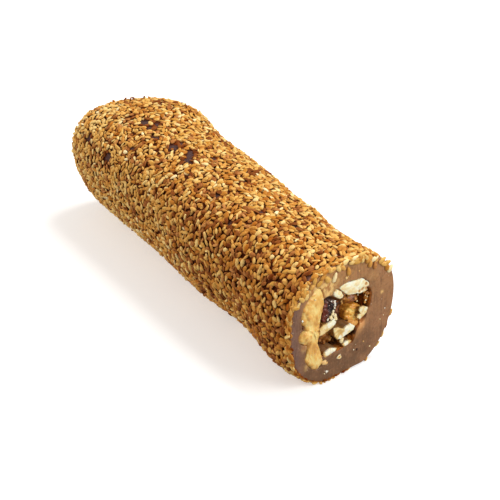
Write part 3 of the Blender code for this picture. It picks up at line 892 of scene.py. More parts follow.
# Each walnut piece in millimetres: its outline on the cut, sideways and up, and how softly that curves;
# how deep its front and back lie, how far the front bulges, its edge's rounding, its broad relief, its
# broken edges and how deep the cut's pale colour goes. Dents are sideways, height, radius and depth, or
# a rise by a minus; stains are sideways, height, radius and strength.
plainNut = {
    "tension": 0.12, "front": 0.0, "crown": 0.15, "edge": 0.12, "lump": 0.12, "chips": 0.14, "soak": 0.4,
    "dents": (), "stains": (), "sides": 110, "slot": "walnut_cream", "look": "walnut_cream",
}
nuts = {
    "walnut_half": {
        "outline": (
            (-11.4, 35.2), (-9.5, 34.3), (-8.4, 31.0), (-8.9, 27.2), (-9.6, 22.6), (-10.4, 19.8),
            (-9.9, 18.2), (-10.6, 15.6), (-10.1, 13.1), (-9.2, 10.2), (-8.4, 7.4), (-10.2, 5.9),
            (-12.4, 6.9), (-14.4, 9.2), (-15.6, 11.3), (-15.3, 13.1), (-14.9, 14.9), (-14.8, 16.6),
            (-16.8, 17.8), (-18.0, 19.0), (-18.2, 20.8), (-17.2, 22.0), (-15.7, 22.6), (-16.9, 24.2),
            (-17.2, 27.0), (-16.6, 30.1), (-15.0, 32.0), (-13.2, 33.6)),
        "tension": 0.3, "back": 9.5, "crown": 0.7, "edge": 0.7, "lump": 0.34, "chips": 0.05, "soak": 2.5,
        "dents": ((-16.9, 23.6, 0.8, 1.4), (-15.4, 19.6, 2.6, -0.5), (-14.4, 16.6, 1.3, 0.3),
                  (-12.2, 22.9, 1.0, 0.35), (-12.1, 9.4, 2.2, -0.5), (-12.5, 14.6, 1.1, 0.3),
                  (-14.2, 29.0, 2.0, -0.3), (-11.4, 27.0, 1.2, -0.25), (-14.6, 25.6, 1.3, -0.35)),
        # The strongest stain, in the hole at -16.8, 23.6, is painted shade.
        "stains": ((-9.6, 27.4, 1.2, 0.5), (-9.9, 22.0, 1.3, 0.6), (-16.8, 23.6, 0.9, 1.0),
                   (-13.2, 26.3, 0.9, 0.3), (-11.2, 34.8, 1.6, 0.25), (-10.3, 17.2, 1.0, 0.4)),
        "sides": 160, "slot": "walnut_flesh", "look": "walnut_flesh",
    },
    "walnut_cream_top": {
        "outline": (
            (-2.3, 31.7), (-1.0, 32.2), (0.3, 32.4), (2.1, 32.3), (4.6, 31.7), (6.0, 31.6), (7.2, 31.4),
            (8.1, 30.6), (8.5, 29.9), (9.3, 29.5), (9.9, 28.6), (9.6, 27.8), (8.8, 27.6), (9.2, 26.6),
            (8.0, 26.3), (6.4, 26.4), (4.7, 27.0), (2.7, 27.5), (1.4, 27.9), (0.2, 28.9), (-0.7, 29.9),
            (-1.5, 30.8)),
        "front": -0.05, "back": 5.6, "crown": 0.2, "lump": 0.14, "sides": 140,
        "dents": ((8.6, 29.0, 0.5, 0.5), (7.4, 27.5, 0.7, 0.4), (5.8, 27.6, 0.7, 0.3), (8.3, 30.2, 0.5, 0.3)),
        "stains": ((8.6, 29.0, 0.6, 1.0), (7.2, 27.6, 0.7, 1.0), (6.0, 27.4, 0.6, 0.8), (8.9, 27.4, 0.8, 0.7),
                   (7.6, 26.6, 0.7, 0.4), (1.0, 28.4, 0.8, 0.3), (3.2, 32.0, 1.2, 0.2)),
    },
    "walnut_tip_top": {
        "outline": (
            (-3.6, 31.9), (-4.4, 31.3), (-4.8, 30.4), (-3.8, 29.1), (-2.3, 28.0), (-1.1, 27.9), (-0.8, 28.7),
            (-1.5, 30.2), (-2.8, 31.4)),
        "front": -0.3, "back": 4.4, "crown": 0.3, "edge": 0.25, "lump": 0.1, "chips": 0.1, "soak": 1.0,
    },
    "walnut_skin_left": {
        "outline": (
            (-7.1, 29.4), (-6.0, 28.3), (-5.1, 27.2), (-4.0, 26.3), (-3.0, 25.0), (-2.6, 23.3), (-2.9, 22.0),
            (-4.4, 21.7), (-5.9, 21.4), (-7.1, 21.3), (-8.0, 22.2), (-8.1, 25.2), (-7.6, 27.8)),
        "front": 0.9, "back": 8.0, "crown": 0.3, "edge": 0.3, "lump": 0.5, "chips": 0.16, "soak": 3.0,
        "dents": ((-4.4, 24.6, 0.8, 0.7), (-6.0, 26.6, 0.7, 0.5), (-6.6, 23.3, 0.6, -0.4)),
        "stains": ((-8.0, 24.8, 1.7, 1.0), (-7.6, 22.2, 1.3, 0.8), (-7.2, 27.2, 1.0, 0.8)),
        "slot": "walnut_skin", "look": "walnut_skin",
    },
    "walnut_chip_mid": {
        "outline": (
            (-3.3, 20.2), (-4.2, 21.6), (-5.2, 21.1), (-6.4, 20.8), (-8.4, 21.2), (-9.9, 20.1), (-9.6, 19.0),
            (-9.9, 17.8), (-8.4, 17.7), (-6.5, 18.2), (-5.0, 18.7), (-3.9, 19.2)),
        "back": 7.6, "look": "walnut_wax",
        "stains": ((-4.2, 20.6, 1.3, 1.0), (-6.0, 20.2, 1.2, 0.8), (-7.6, 20.2, 1.1, 0.45)),
    },
    "walnut_chip_right": {
        "outline": (
            (-3.9, 17.8), (-2.2, 17.5), (-0.2, 16.1), (1.1, 16.6), (2.7, 16.8), (4.7, 15.2), (4.2, 14.1),
            (2.2, 13.6), (0.4, 13.3), (-1.3, 13.0), (-2.6, 13.5), (-3.5, 15.0), (-3.9, 16.4)),
        "front": 0.1, "back": 8.0, "look": "walnut_wax",
        "dents": ((-1.2, 15.2, 0.9, 0.45),),
        "stains": ((3.4, 15.8, 1.6, 1.0), (1.4, 15.6, 1.2, 0.9), (0.6, 14.2, 1.2, 0.8),
                   (-1.4, 13.6, 1.0, 0.7)),
    },
    "walnut_slab_right": {
        "outline": (
            (6.5, 21.2), (8.2, 20.9), (9.8, 19.8), (9.2, 18.2), (7.9, 17.5), (6.5, 16.8), (5.3, 18.1),
            (6.0, 18.7), (6.8, 18.9), (6.1, 20.1)),
        "front": -0.05, "back": 1.9, "crown": 0.1, "sides": 90, "look": "walnut_wax",
        "stains": ((8.8, 19.8, 0.9, 0.6), (7.0, 20.2, 0.8, 0.5), (6.4, 17.6, 0.7, 0.5)),
    },
    "walnut_lump_back": {
        "outline": (
            (3.2, 19.9), (4.6, 21.2), (7.0, 21.0), (9.0, 19.2), (9.1, 16.9), (7.6, 15.3), (5.6, 15.4),
            (3.8, 16.3), (2.5, 17.4)),
        "tension": 0.3, "front": 2.2, "back": 9.0, "crown": 0.8, "edge": 0.7, "lump": 0.42, "chips": 0.1,
        "soak": 4.0,
        "dents": ((4.0, 18.2, 0.7, 0.5), (6.4, 18.6, 0.6, 0.4), (5.2, 16.6, 1.0, -0.5)),
        "slot": "walnut_flesh", "look": "walnut_gold",
    },
    "walnut_chip_low": {
        "outline": (
            (-8.2, 10.3), (-7.1, 11.0), (-5.5, 11.5), (-4.2, 10.9), (-2.6, 10.2), (-3.4, 9.6), (-5.4, 9.2),
            (-7.5, 9.1)),
        "back": 7.2, "sides": 90, "look": "walnut_wax",
        "stains": ((-6.4, 10.5, 1.2, 1.0), (-4.4, 10.4, 1.2, 0.9)),
    },
    "walnut_slab_low": {
        "outline": (
            (-0.1, 10.4), (0.9, 11.0), (2.1, 10.9), (3.4, 10.4), (2.4, 9.8), (0.9, 9.4), (0.2, 9.6)),
        "front": 0.1, "back": 5.0, "sides": 72, "look": "walnut_wax",
        "stains": ((1.2, 10.4, 0.9, 0.9),),
    },
}


# What all the pieces share: the rings along them, how far the straight side goes towards the back and how
# much it narrows, how their relief and broken edges are put together, and the waves of both, each a size
# and what is added to the piece's seed.
nutShape = {
    "faceRings": 18,
    "edgeRings": 5,
    "sideRings": 8,
    "backRings": 7,
    "firstRing": 0.05,
    "waist": 0.5,
    "narrowing": 0.05,
    "dentFade": 1.5 * mm,  # distance over which dents fade, and where that ends behind the front, in fades
    "dentEnd": 1.5,
    # how much darker dents are, as painted shade
    "dentShade": 0.6,
    "foldTop": 0.5,  # folds stand up to this and drop by the next
    "foldDrop": 1.6,
    "reliefShares": (0.5, 0.45, 0.2),  # of the broad waves, the folds and the grain
    "fineShare": 0.5,  # of the fine breaks beside the others, and how far all of them start inwards
    "breakStart": 0.35,
    "broad": (4.5 * mm, 0),
    "folds": (2.2 * mm, 50),
    "grain": (0.9 * mm, 90),
    "breaks": (1.5 * mm, 130),
    "fineBreaks": (0.7 * mm, 170),
}


def nutProfile(size, front, back, crown, edge):
    # Share of the outline and depth along a piece: a domed front, a rounded edge, a straight side and
    # an elliptic back.
    narrow = edge / size
    quarter = 0.5 * math.pi
    face = np.linspace(nutShape["firstRing"], 1.0 - narrow, nutShape["faceRings"])
    turn = np.linspace(0.0, quarter, nutShape["edgeRings"] + 1)[1:]
    side = np.linspace(0.0, 1.0, nutShape["sideRings"] + 1)[1:]
    fall = np.linspace(0.0, quarter, nutShape["backRings"] + 2)[1:-1]
    straight = nutShape["waist"] * (back - front - edge)
    waist = front + edge + straight
    share = np.concatenate([
        face, 1.0 - narrow + narrow * np.sin(turn), 1.0 - nutShape["narrowing"] * side,
        (1.0 - nutShape["narrowing"]) * np.cos(fall)])
    depth = np.concatenate([
        front - crown * (1.0 - face ** 2), front + edge * (1.0 - np.cos(turn)),
        front + edge + straight * side, waist + (back - waist) * np.sin(fall)])
    return share, depth


def nutWaves(points, kind, seed):
    # Waves of one kind of relief, different for each piece by its seed.
    size, step = nutShape[kind]
    return waves(points, size, seed + step)


def brokenEdge(values, seed):
    # A piece's outline with its middle and mean radius: folded waves and finer ones move it in and out. It
    # runs the way round that makes ringNormals point outwards.
    edge = smoothOutline(values["outline"], values["sides"], values["tension"])[::-1]
    middle = edge.mean(axis=0)
    size = float(np.linalg.norm(edge - middle, axis=1).mean())
    flat = np.column_stack([edge, np.zeros(len(edge))])
    fine = nutShape["fineShare"] * nutWaves(flat, "fineBreaks", seed)
    broken = np.abs(nutWaves(flat, "breaks", seed)) + fine - nutShape["breakStart"]
    return edge + (edge - middle) / size * (values["chips"] * mm * broken)[:, None], middle, size


def makeNut(name, values, seed, material):
    # A walnut piece: its outline with broken edges, scaled along its profile, pushed in at its dents,
    # then in and out by lumps, folds and grain.
    edge, middle, size = brokenEdge(values, seed)
    front, back, crown, rounding = (values[key] * mm for key in ("front", "back", "crown", "edge"))
    share, depth = nutProfile(size, front, back, crown, rounding)
    flat = middle + (edge - middle) * share[:, None, None]
    depth = np.broadcast_to(depth[:, None], flat.shape[:2])
    side, height = flat[..., 0], flat[..., 1]
    nearFront = np.clip(nutShape["dentEnd"] - (depth - front) / nutShape["dentFade"], 0.0, 1.0)
    dent = bumpHeight(side, height, values["dents"]) * nearFront
    rings = cutPoint(side, height, depth + dent * mm)
    folds = nutShape["foldTop"] - np.abs(nutWaves(rings, "folds", seed)) * nutShape["foldDrop"]
    shares = nutShape["reliefShares"]
    relief = shares[0] * nutWaves(rings, "broad", seed) + shares[1] * folds
    relief = relief + shares[2] * nutWaves(rings, "grain", seed)
    rings = rings + ringNormals(rings) * (values["lump"] * mm * relief)[..., None]
    made = closedPiece(name + "_nut", rings, ringMiddles(rings), material, {
        # The relief sets the colour: painted shade in hollows and dents, painted light on bulges.
        "relief": relief - nutShape["dentShade"] * dent,
        # The soaked brown surface behind the cut, darker the deeper it lies, partly as painted shade.
        "soaked": (depth - front) / (values["soak"] * mm),
        "stain": patchTint(side, height, values["stains"])})
    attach(made, "root")
    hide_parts(name)


# Looks of the walnut: the tones of its hollows, body and ridges, the hollows darker as painted shade and
# the ridges lighter as painted light, of its stains and of its soaked surface behind the cut, darker
# there also as painted shade, then its roughness, its coat of syrup and the strength of its painted glints.
nutLooks = {
    "walnut_flesh": {
        "hollow": shade(222, 158, 74), "body": shade(242, 188, 96), "ridge": shade(255, 224, 140),
        "stained": shade(182, 116, 50), "soaked": shade(122, 70, 24),
        "roughness": 0.40, "coat": 0.35, "glints": 0.35,
    },
    "walnut_cream": {
        "hollow": shade(246, 218, 160), "body": shade(255, 247, 208), "ridge": shade(255, 255, 232),
        "stained": shade(200, 146, 84), "soaked": shade(140, 86, 30),
        "roughness": 0.55, "coat": 0.0, "glints": 0.0,
    },
    "walnut_wax": {
        "hollow": shade(214, 170, 96), "body": shade(238, 204, 134), "ridge": shade(255, 234, 178),
        "stained": shade(255, 250, 220), "soaked": shade(140, 86, 30),
        "roughness": 0.48, "coat": 0.1, "glints": 0.0,
    },
    "walnut_skin": {
        "hollow": shade(14, 5, 4), "body": shade(62, 26, 16), "ridge": shade(124, 84, 70),
        "stained": shade(112, 46, 28), "soaked": shade(52, 26, 14),
        "roughness": 0.34, "coat": 0.12, "glints": 0.9,
    },
    "walnut_gold": {
        "hollow": shade(200, 126, 40), "body": shade(244, 176, 70), "ridge": shade(255, 224, 130),
        "stained": shade(206, 140, 54), "soaked": shade(140, 80, 22),
        "roughness": 0.36, "coat": 0.2, "glints": 0.0,
    },
    "walnut_core": {
        "hollow": shade(44, 19, 4), "body": shade(124, 70, 24), "ridge": shade(206, 138, 62),
        "stained": shade(176, 114, 76), "soaked": shade(60, 30, 8),
        "roughness": 0.35, "coat": 0.2, "glints": 0.0,
    },
}
# Colour of the painted glints, pale specks that stand in for highlights.
paintedGlint = shade(246, 232, 214)


def nutMaterial(name):
    # Walnut: tones from its hollows to its ridges, dark to light as painted shade and painted light, with
    # fine pores and painted glints, stained in places and darker behind the cut, where syrup has soaked in
    # and painted shade deepens it.
    look = nutLooks[name]
    recipe = Recipe(name)
    relief = shifted(recipe.attribute("relief"), recipe.noise(1.3 * mm, 4.0, 0.6), 0.5)
    stain = shifted(recipe.attribute("stain"), recipe.noise(0.8 * mm, 3.0), 0.5)
    depth = shifted(recipe.attribute("soaked"), recipe.noise(1.2 * mm, 3.0), 0.8)
    # Painted glints: pale specks that stand in for highlights.
    glints = 1.0 - recipe.rise(recipe.speckle(0.75 * mm), 0.10, 0.18)
    pores = recipe.noise(0.45 * mm, 3.0, 0.6)
    # Painted shade in the hollows, painted light on the ridges.
    clean = recipe.ramp(recipe.rise(relief, -0.9, 0.9),
                        (0.0, look["hollow"]), (0.45, look["body"]), (1.0, look["ridge"]))
    return recipe.finish(
        Base_Color=recipe.layers(
            clean,
            (recipe.rise(stain, 0.18, 0.7), look["stained"]),
            # Soaked brown and painted shade deeper behind the cut.
            (recipe.rise(depth, 0.7, 1.6) * 0.9, look["soaked"]),
            (glints * look["glints"], paintedGlint)),
        Roughness=shifted(look["roughness"], pores, 0.2),
        Normal=recipe.bump(pores, 0.14 * mm),
        Specular_IOR_Level=0.3,
        Subsurface_Weight=0.12,
        Subsurface_Radius=(1.0, 0.6, 0.3),
        Subsurface_Scale=0.8 * mm,
        Coat_Weight=look["coat"],
        Coat_Roughness=0.25)


# Filling behind the pieces


core = {
    "sides": 120,
    "frontRings": 33,
    "firstRing": 0.05,
    "nearStep": 0.5 * mm,  # distance of the rings behind the front, then along the bar
    "farStep": 1.5 * mm,
    "frontLayers": ((4.0 * mm, 21, 0.6), (1.8 * mm, 22, 0.5)),  # size, seed and height
    "behindLayers": ((3.0 * mm, 23, 0.5),),
    "stainLayers": ((3.2 * mm, 24, 1.0),),
    "mostStain": 0.7,
    "rimPower": 6,  # of the way out from the middle, by which the relief fades to the pocket's wall
    "bumpPaintedLight": 0.3,  # painted light: how far bumps lighten the front, and the height from which they add no more
    "mostBump": 2.5,
    "frontTone": (0.7, -0.4),  # the front's tones: strength and offset, then the offset of those behind
    "behindOffset": -0.3,
}

# Bumps on the front of the filling: sideways and height in millimetres, radius, and how far each stands
# out as a multiple of the relief's height.
coreBumps = (
    (-6.2, 13.8, 2.6, 3.0), (-3.2, 12.6, 1.8, 3.0), (-7.8, 16.6, 1.4, 1.8), (-6.8, 11.0, 1.6, 2.2),
    (5.4, 24.0, 2.6, 2.9), (7.9, 22.6, 1.9, 3.3), (2.4, 24.6, 1.6, 2.0), (0.9, 21.4, 1.4, 1.6),
    (3.2, 12.6, 2.0, 3.6), (3.4, 16.6, 1.7, 2.6), (-1.4, 19.4, 1.8, -1.4),
)


def coreRelief(side, height):
    # How far the front of the filling stands out, as waves of two sizes and the bumps, and its tone, which
    # the bumps lighten as painted light.
    small = layeredWaves(cutPoint(side, height, mouth["coreStart"]), core["frontLayers"])
    bumps = bumpHeight(side, height, coreBumps)
    # Painted light: the front lighter where bumps bring it forward.
    tone = small + core["bumpPaintedLight"] * np.minimum(bumps, core["mostBump"])
    return mouth["coreRise"] * (small + bumps), tone


def coreDepth(side, height):
    # Depth of the filling's front in the pocket, where small bits lie on it.
    across = side - mouth["centre"][0] * mm
    up = height - mouth["centre"][1] * mm
    share = np.hypot(across, up) / outlineRadii(mouth["outline"], mouth["centre"], np.arctan2(up, across))
    rise, _ = coreRelief(side, height)
    return mouth["coreStart"] - rise * (1.0 - np.minimum(share, 1.0) ** core["rimPower"])


def makeCore(material):
    # The filling behind the pieces: a lumpy front in the pocket, then walnut lumps in a row to its end.
    angles = np.linspace(0.0, 2.0 * math.pi, core["sides"], endpoint=False)
    depths = fillingDepths(mouth["coreStart"], core["nearStep"], core["farStep"], mouth["coreEnd"])
    behind = fillingRings(depths, angles, 0.0)
    share = np.sin(np.linspace(core["firstRing"], 0.5 * math.pi, core["frontRings"] + 1))[:-1, None, None]
    centre = cutPoint(*(np.array(mouth["centre"]) * mm), mouth["coreStart"])
    side, height, depth = cutPlace(centre + (behind[0] - centre) * share)
    rise, frontTone = coreRelief(side, height)
    front = cutPoint(side, height, depth - rise * (1.0 - share[..., 0] ** core["rimPower"]))
    rings = np.concatenate([front, behind])
    strength, offset = core["frontTone"]
    behindTone = layeredWaves(behind, core["behindLayers"]) + core["behindOffset"]
    relief = np.concatenate([strength * frontTone + offset, behindTone])
    made = closedPiece("walnut_core_nut", rings, ringMiddles(rings), material, {
        "relief": relief,
        "soaked": np.zeros(relief.shape),
        "stain": np.clip(layeredWaves(rings, core["stainLayers"]), 0.0, core["mostStain"])})
    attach(made, "root")
    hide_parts("walnut_core")


# Crumbs on the cut


crumb = {
    "sides": 12,
    "bands": 8,
    "thickness": 0.55,  # share of its size across
    "stretch": (0.65, 1.2),  # least and most, sideways and upwards
    "unevenness": 0.35,
    "lumpSize": 1.1,  # in radii, as are the step from one crumb's waves to the next one's and the dish of
    "lumpStep": 7.0,  # a dished one
    "dish": 0.45,
    "dishShade": 0.6,  # painted shade: how much darker a dish is, and painted light: how much lighter lumps are
    "lumpLight": 0.2,
}

# Sideways, height and depth in millimetres, size across, tone from dark to white and how dished each is.
crumbs = (
    (-7.9, 7.4, 0.0, 1.9, 0.62, 0.0), (-7.0, 6.7, 0.0, 1.2, 0.55, 0.0), (-6.7, 3.5, 0.0, 1.1, 0.95, 0.0),
    (-7.6, 3.1, 0.0, 0.6, 0.80, 0.0), (-1.8, 6.8, 0.0, 1.7, 0.85, 1.0), (-0.5, 12.0, 0.4, 1.5, 0.80, 0.0),
    (-0.2, 11.4, 0.6, 1.0, 0.65, 0.0), (17.0, 16.5, 0.0, 0.5, 0.95, 0.0), (16.5, 14.2, 0.0, 0.35, 0.85, 0.0),
    (15.1, 13.2, 0.0, 0.5, 0.75, 0.0), (11.1, 5.0, 0.0, 0.5, 0.80, 0.0), (4.3, 6.7, 0.0, 0.6, 0.90, 0.0),
    (5.6, 6.3, 0.05, 0.9, 0.0, 0.0), (8.2, 8.1, 0.0, 0.6, 0.50, 0.0), (-4.9, 36.7, -0.1, 0.9, 0.95, 0.0),
    (0.4, 34.3, 0.0, 1.0, 0.62, 0.0), (1.0, 34.6, 0.0, 0.6, 0.70, 0.0), (5.6, 34.6, 0.0, 0.6, 0.50, 0.0),
    # The dark crumb at -16.7, 23.7 sits in the walnut half's hole as painted shade.
    (12.6, 33.0, 0.0, 0.5, 0.60, 0.0), (-17.1, 26.4, -0.2, 0.7, 1.0, 0.0), (-16.7, 23.7, 0.0, 1.1, 0.12, 0.0),
    (-12.3, 32.0, -0.3, 0.9, 0.75, 0.0), (-9.3, 30.9, -0.2, 0.7, 0.80, 0.0),
    (-3.5, 27.2, 0.7, 0.8, 0.95, 0.0), (-3.4, 26.5, 0.7, 0.9, 1.0, 0.0), (-3.3, 25.7, 0.7, 0.8, 0.95, 0.0),
    (-3.5, 24.9, 0.7, 0.8, 0.90, 0.0), (-4.1, 24.0, 0.6, 1.0, 0.85, 0.0), (-4.4, 23.2, 0.5, 1.2, 0.80, 0.0),
    (-3.6, 22.4, 0.4, 1.2, 0.82, 0.0), (-5.2, 22.3, 0.4, 1.3, 0.80, 0.0), (-3.4, 21.3, 0.2, 1.3, 0.78, 0.0),
    (-6.3, 21.9, 0.5, 0.8, 0.95, 0.0), (-4.6, 27.6, 0.9, 0.5, 1.0, 0.0),
    (4.3, 15.9, 2.0, 3.0, 0.42, 0.0), (5.7, 15.3, 1.4, 2.8, 0.46, 0.0),
    (10.2, 22.6, 1.5, 1.7, 0.33, 0.0), (10.4, 24.2, 1.2, 1.6, 0.27, 0.0), (9.9, 21.0, 1.6, 1.1, 0.45, 0.0),
    # The small pale crumbs at 9.6, 22.1 and 10.0, 23.3 are painted highlights, standing in for glints.
    (9.6, 22.1, 0.9, 0.6, 0.85, 0.0), (10.0, 23.3, 0.7, 0.5, 0.78, 0.0), (9.2, 25.5, 1.5, 1.7, 0.30, 0.0),
    (9.4, 23.9, 1.0, 0.5, 0.70, 0.0),
)

# Crumbs on the filling in the pocket: sideways and height in millimetres, size across and tone.
pocketCrumbs = (
    (-3.6, 14.8, 1.6, 0.34), (-2.8, 12.2, 1.3, 0.45), (-5.4, 12.2, 1.5, 0.24), (-7.2, 13.6, 1.5, 0.20),
    # The pale crumbs at 8.6, 23.2 and 7.6, 21.7 are painted highlights, standing in for glints.
    (-7.6, 16.8, 1.2, 0.36), (-4.6, 16.2, 0.8, 0.60), (8.6, 23.2, 0.7, 0.85), (7.6, 21.7, 0.7, 0.78),
    (6.4, 23.4, 1.0, 0.50), (2.6, 23.0, 1.0, 0.55), (0.8, 18.3, 1.1, 0.50), (3.0, 21.9, 0.8, 0.45),
    (4.6, 24.6, 1.4, 0.30), (3.8, 14.6, 1.2, 0.42),
)
crumbTones = (
    (0.0, shade(44, 22, 12)), (0.2, shade(126, 72, 34)), (0.4, shade(220, 150, 62)),
    (0.6, shade(234, 188, 118)), (0.8, shade(248, 226, 168)), (1.0, shade(255, 252, 240)),
)


def crumbMaterial():
    # Bits of walnut from dark skin to white flesh by their tone, with a fine grain.
    recipe = Recipe("crumbs")
    grain = recipe.noise(0.5 * mm, 3.0)
    return recipe.finish(
        Base_Color=recipe.ramp(shifted(recipe.attribute("tone"), grain, 0.2), *crumbTones),
        Roughness=0.4 + 0.3 * grain,
        Normal=recipe.bump(grain, 0.08 * mm),
        Specular_IOR_Level=0.3)


def makeCrumbs(material):
    # Small bits as squashed lumpy balls, dished ones with a hollow top, joined into one mesh. Those in
    # the pocket take their depth from the filling's front.
    draw = np.random.default_rng(31)
    inside = np.array(pocketCrumbs)
    deep = coreDepth(inside[:, 0] * mm, inside[:, 1] * mm) / mm
    inside = np.column_stack([inside[:, :2], deep, inside[:, 2:], 0.0 * deep])
    rows = np.concatenate([np.array(crumbs), inside])
    side, height, depth, size, tone, dished = rows.T[:, :, None]
    ball, corners, sizes = ballShape(crumb["sides"], crumb["bands"])
    outward, across, upward = ball.T
    dish = dished * np.exp(-(np.hypot(across, upward) / crumb["dish"]) ** 2) * (outward > 0.0)
    half = 0.5 * size * mm
    sideways, upwards = draw.uniform(*crumb["stretch"], (len(rows), 2, 1)).transpose(1, 0, 2)
    apart = crumb["lumpStep"] * np.arange(len(rows))[:, None, None]
    uneven = 1.0 + crumb["unevenness"] * waves(ball[None] + apart, crumb["lumpSize"], 32)
    points = cutPoint(side * mm + half * sideways * uneven * across,
                      height * mm + half * upwards * uneven * upward,
                      depth * mm - crumb["thickness"] * half * uneven * outward * (1.0 - dish))
    # Painted shade in the dish and painted light on the lumps.
    tone = np.clip(tone - crumb["dishShade"] * dish + crumb["lumpLight"] * (uneven - 1.0), 0.0, 1.0)
    made = joinedCopies("walnut_crumbs", points, corners, sizes, material, {"tone": tone})
    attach(made, "root")


# Sesame coat


sesame = {
    "length": 2.45 * mm,
    "width": 1.36 * mm,
    "thickness": 0.78 * mm,
    "farSize": 0.91,  # the seeds grow in size from the rounded end to the cut
    "nearSize": 1.14,
    "unevenness": 0.09,
    "shape": {"sides": 7, "bands": 4, "taper": 0.28, "thinning": 0.15, "bluntness": 0.95},
    "shares": (0.42, 0.39, 0.155, 0.035),  # of golden, amber, toasted and pale seeds
    "shadedSideShares": (0.20, 0.45, 0.35, 0.0),  # the same on the side that faces the camera's left, where more toasted seeds paint shade
    "leftSide": (180.0, 1.4, 0.2),  # where that is, as sideShare takes it, and the way where it begins
    "leftStart": 30.0 * mm,
    "leftFade": 60.0 * mm,
    "tone": (0.48, 0.27),  # mean and spread, from dark to light
    "farPaintedLight": 0.15,  # painted light: how much lighter the far end is, and its left side besides
    "farLeftPaintedLight": 0.34,
    "darkRing": 1.3 * mm,  # how far round a bare spot seeds are toasted, the share that are and their tone
    "darkShare": 0.6,
    "darkTone": 0.3,
    "rimBand": 2.4 * mm,  # how far from the cut seeds are neither toasted nor, by a share, pale
    "lessPale": 0.6,
    "shadeDepth": 0.70 * mm,  # height over the jelly below which a seed gets painted shade, more the lower it lies
    "rimShade": 0.35 * mm,  # how much less that is by the cut
}

# How the seeds are laid on the bar.
laying = {
    "count": 9700,
    "draws": 4,  # places drawn for each seed, from which one is chosen
    "turns": 1.1,  # spread of their directions in radians, and of those along the rim
    "rimTurns": 0.5,
    "elbowRoom": 0.84,  # share of its own size that each seed holds free while they spread
    "discPlaces": (-0.62, 0.0, 0.62),  # each seed as three discs, by shares of its length and width
    "discWidths": (0.40, 0.48, 0.40),
    "spreadRounds": 40,
    "searchEvery": 5,  # rounds after which neighbours are looked for again, and how many lengths away
    "searchReach": 1.3,
    "pushShare": 0.35,
    "leastGirth": 1.0 * mm,  # for one radian round the tip, and least pace there, so that no move is wild
    "leastPace": 0.3,
    "endRoom": 0.5 * mm,  # how far from the cut seeds stay, and are drawn
    "drawRoom": 0.3 * mm,
    "spotRoom": 0.3 * mm,  # room round a bare spot
    "lost": 0.01,  # share of the seeds that have fallen off
    "rimRow": 64,  # seeds in the row along the rim, where it starts and ends in degrees, and its spread
    "rimSpan": (75.0, 275.0, 1.5),
    "rimBand": (0.1, 1.1),  # how far from the cut it lies, in millimetres
    "stackRounds": 45,
    "stackReach": 1.15,
    "touching": 0.97,  # share of their reach within which two discs count as crossing
    "press": 0.012 * mm,
    "sunk": 0.05 * mm,  # lowest and highest that a seed's middle goes over the jelly
    "highest": 0.60 * mm,
    "steepest": 0.36,
    "tip": 0.12,
    "roll": 0.42,
    "onEdge": 0.16,  # share of the seeds that stand on edge, how far they roll and their highest
    "edgeRoll": (0.7, 1.3),
    "edgeHighest": 0.30 * mm,
    "rimSunk": 0.12 * mm,  # how far seeds sink in at the rim in sight, and where that rim is, by the
    "rimSight": (150.0, -0.2),  # least cosine of the angle from its middle in degrees
    "pressedSunk": 0.5 * mm,  # how far they sink in where the coat is pressed flat
    "lowest": 0.02 * mm,  # least height of a seed's points over the surface that the bar rests on
}

# Seeds that stand out from the coat: way along the bar in millimetres, angle round it, turn, tip and roll
# in degrees, height over the jelly in millimetres, kind and tone.
standingSeeds = (
    (5.8, 84.0, 30.0, 50.0, 0.0, 0.8, 2, 0.3), (6.1, 88.0, 160.0, 60.0, 0.0, 0.8, 2, 0.5),
    (6.6, 74.0, 60.0, 45.0, 0.0, 0.8, 2, 0.2), (9.0, 73.0, 10.0, 55.0, 0.0, 0.8, 1, 0.4),
    (5.4, 93.0, 120.0, 40.0, 0.0, 0.8, 2, 0.4), (5.0, 104.0, 60.0, 45.0, 0.0, 0.8, 1, 0.3),
    (131.4, -20.5, 10.0, 0.0, 85.0, 0.75, 1, 0.8), (131.4, -31.5, 0.0, 0.0, 60.0, 0.10, 2, 0.6),
    (131.4, -39.5, -10.0, 0.0, 75.0, 0.35, 0, 0.7), (131.4, -50.0, 20.0, 0.0, 75.0, 0.40, 0, 0.9),
    (131.4, -63.0, -30.0, 0.0, 70.0, 0.30, 1, 0.9), (131.3, 34.0, 20.0, 0.0, 60.0, 0.20, 0, 0.8),
)
degree = math.radians(1.0)
standingUnits = (mm, degree, degree, degree, degree, mm, 1.0, 1.0)


def seedSize(way):
    # Size of a seed at a way along the bar, as a share of the usual one.
    share = np.maximum(way, 0.0) / bar["length"]
    return sesame["farSize"] + (sesame["nearSize"] - sesame["farSize"]) * share


def skinFrame(way, angle):
    # Place on the skin with its directions across, along and out, from small steps each way, and how far
    # the skin goes for each radian and for each metre of the way.
    step, lean = 0.05 * mm, 0.004
    place = jellySkin(way, angle)
    across = jellySkin(way, angle + lean) - jellySkin(way, angle - lean)
    along = jellySkin(way + step, angle) - jellySkin(np.maximum(way - step, tipWay), angle)
    girth = np.linalg.norm(across, axis=-1, keepdims=True) / (2.0 * lean)
    pace = np.linalg.norm(along, axis=-1) / (step + np.minimum(way - tipWay, step))
    across = across / np.maximum(girth * (2.0 * lean), 1e-12)
    out = np.cross(across, along)
    out = out / np.maximum(np.linalg.norm(out, axis=-1, keepdims=True), 1e-12)
    return place, across, np.cross(out, across), out, girth[:, 0], pace


def turned(first, second, angle):
    # Directions turned from the first towards the second, which is square to it, by angles.
    return first * np.cos(angle)[:, None] + second * np.sin(angle)[:, None]


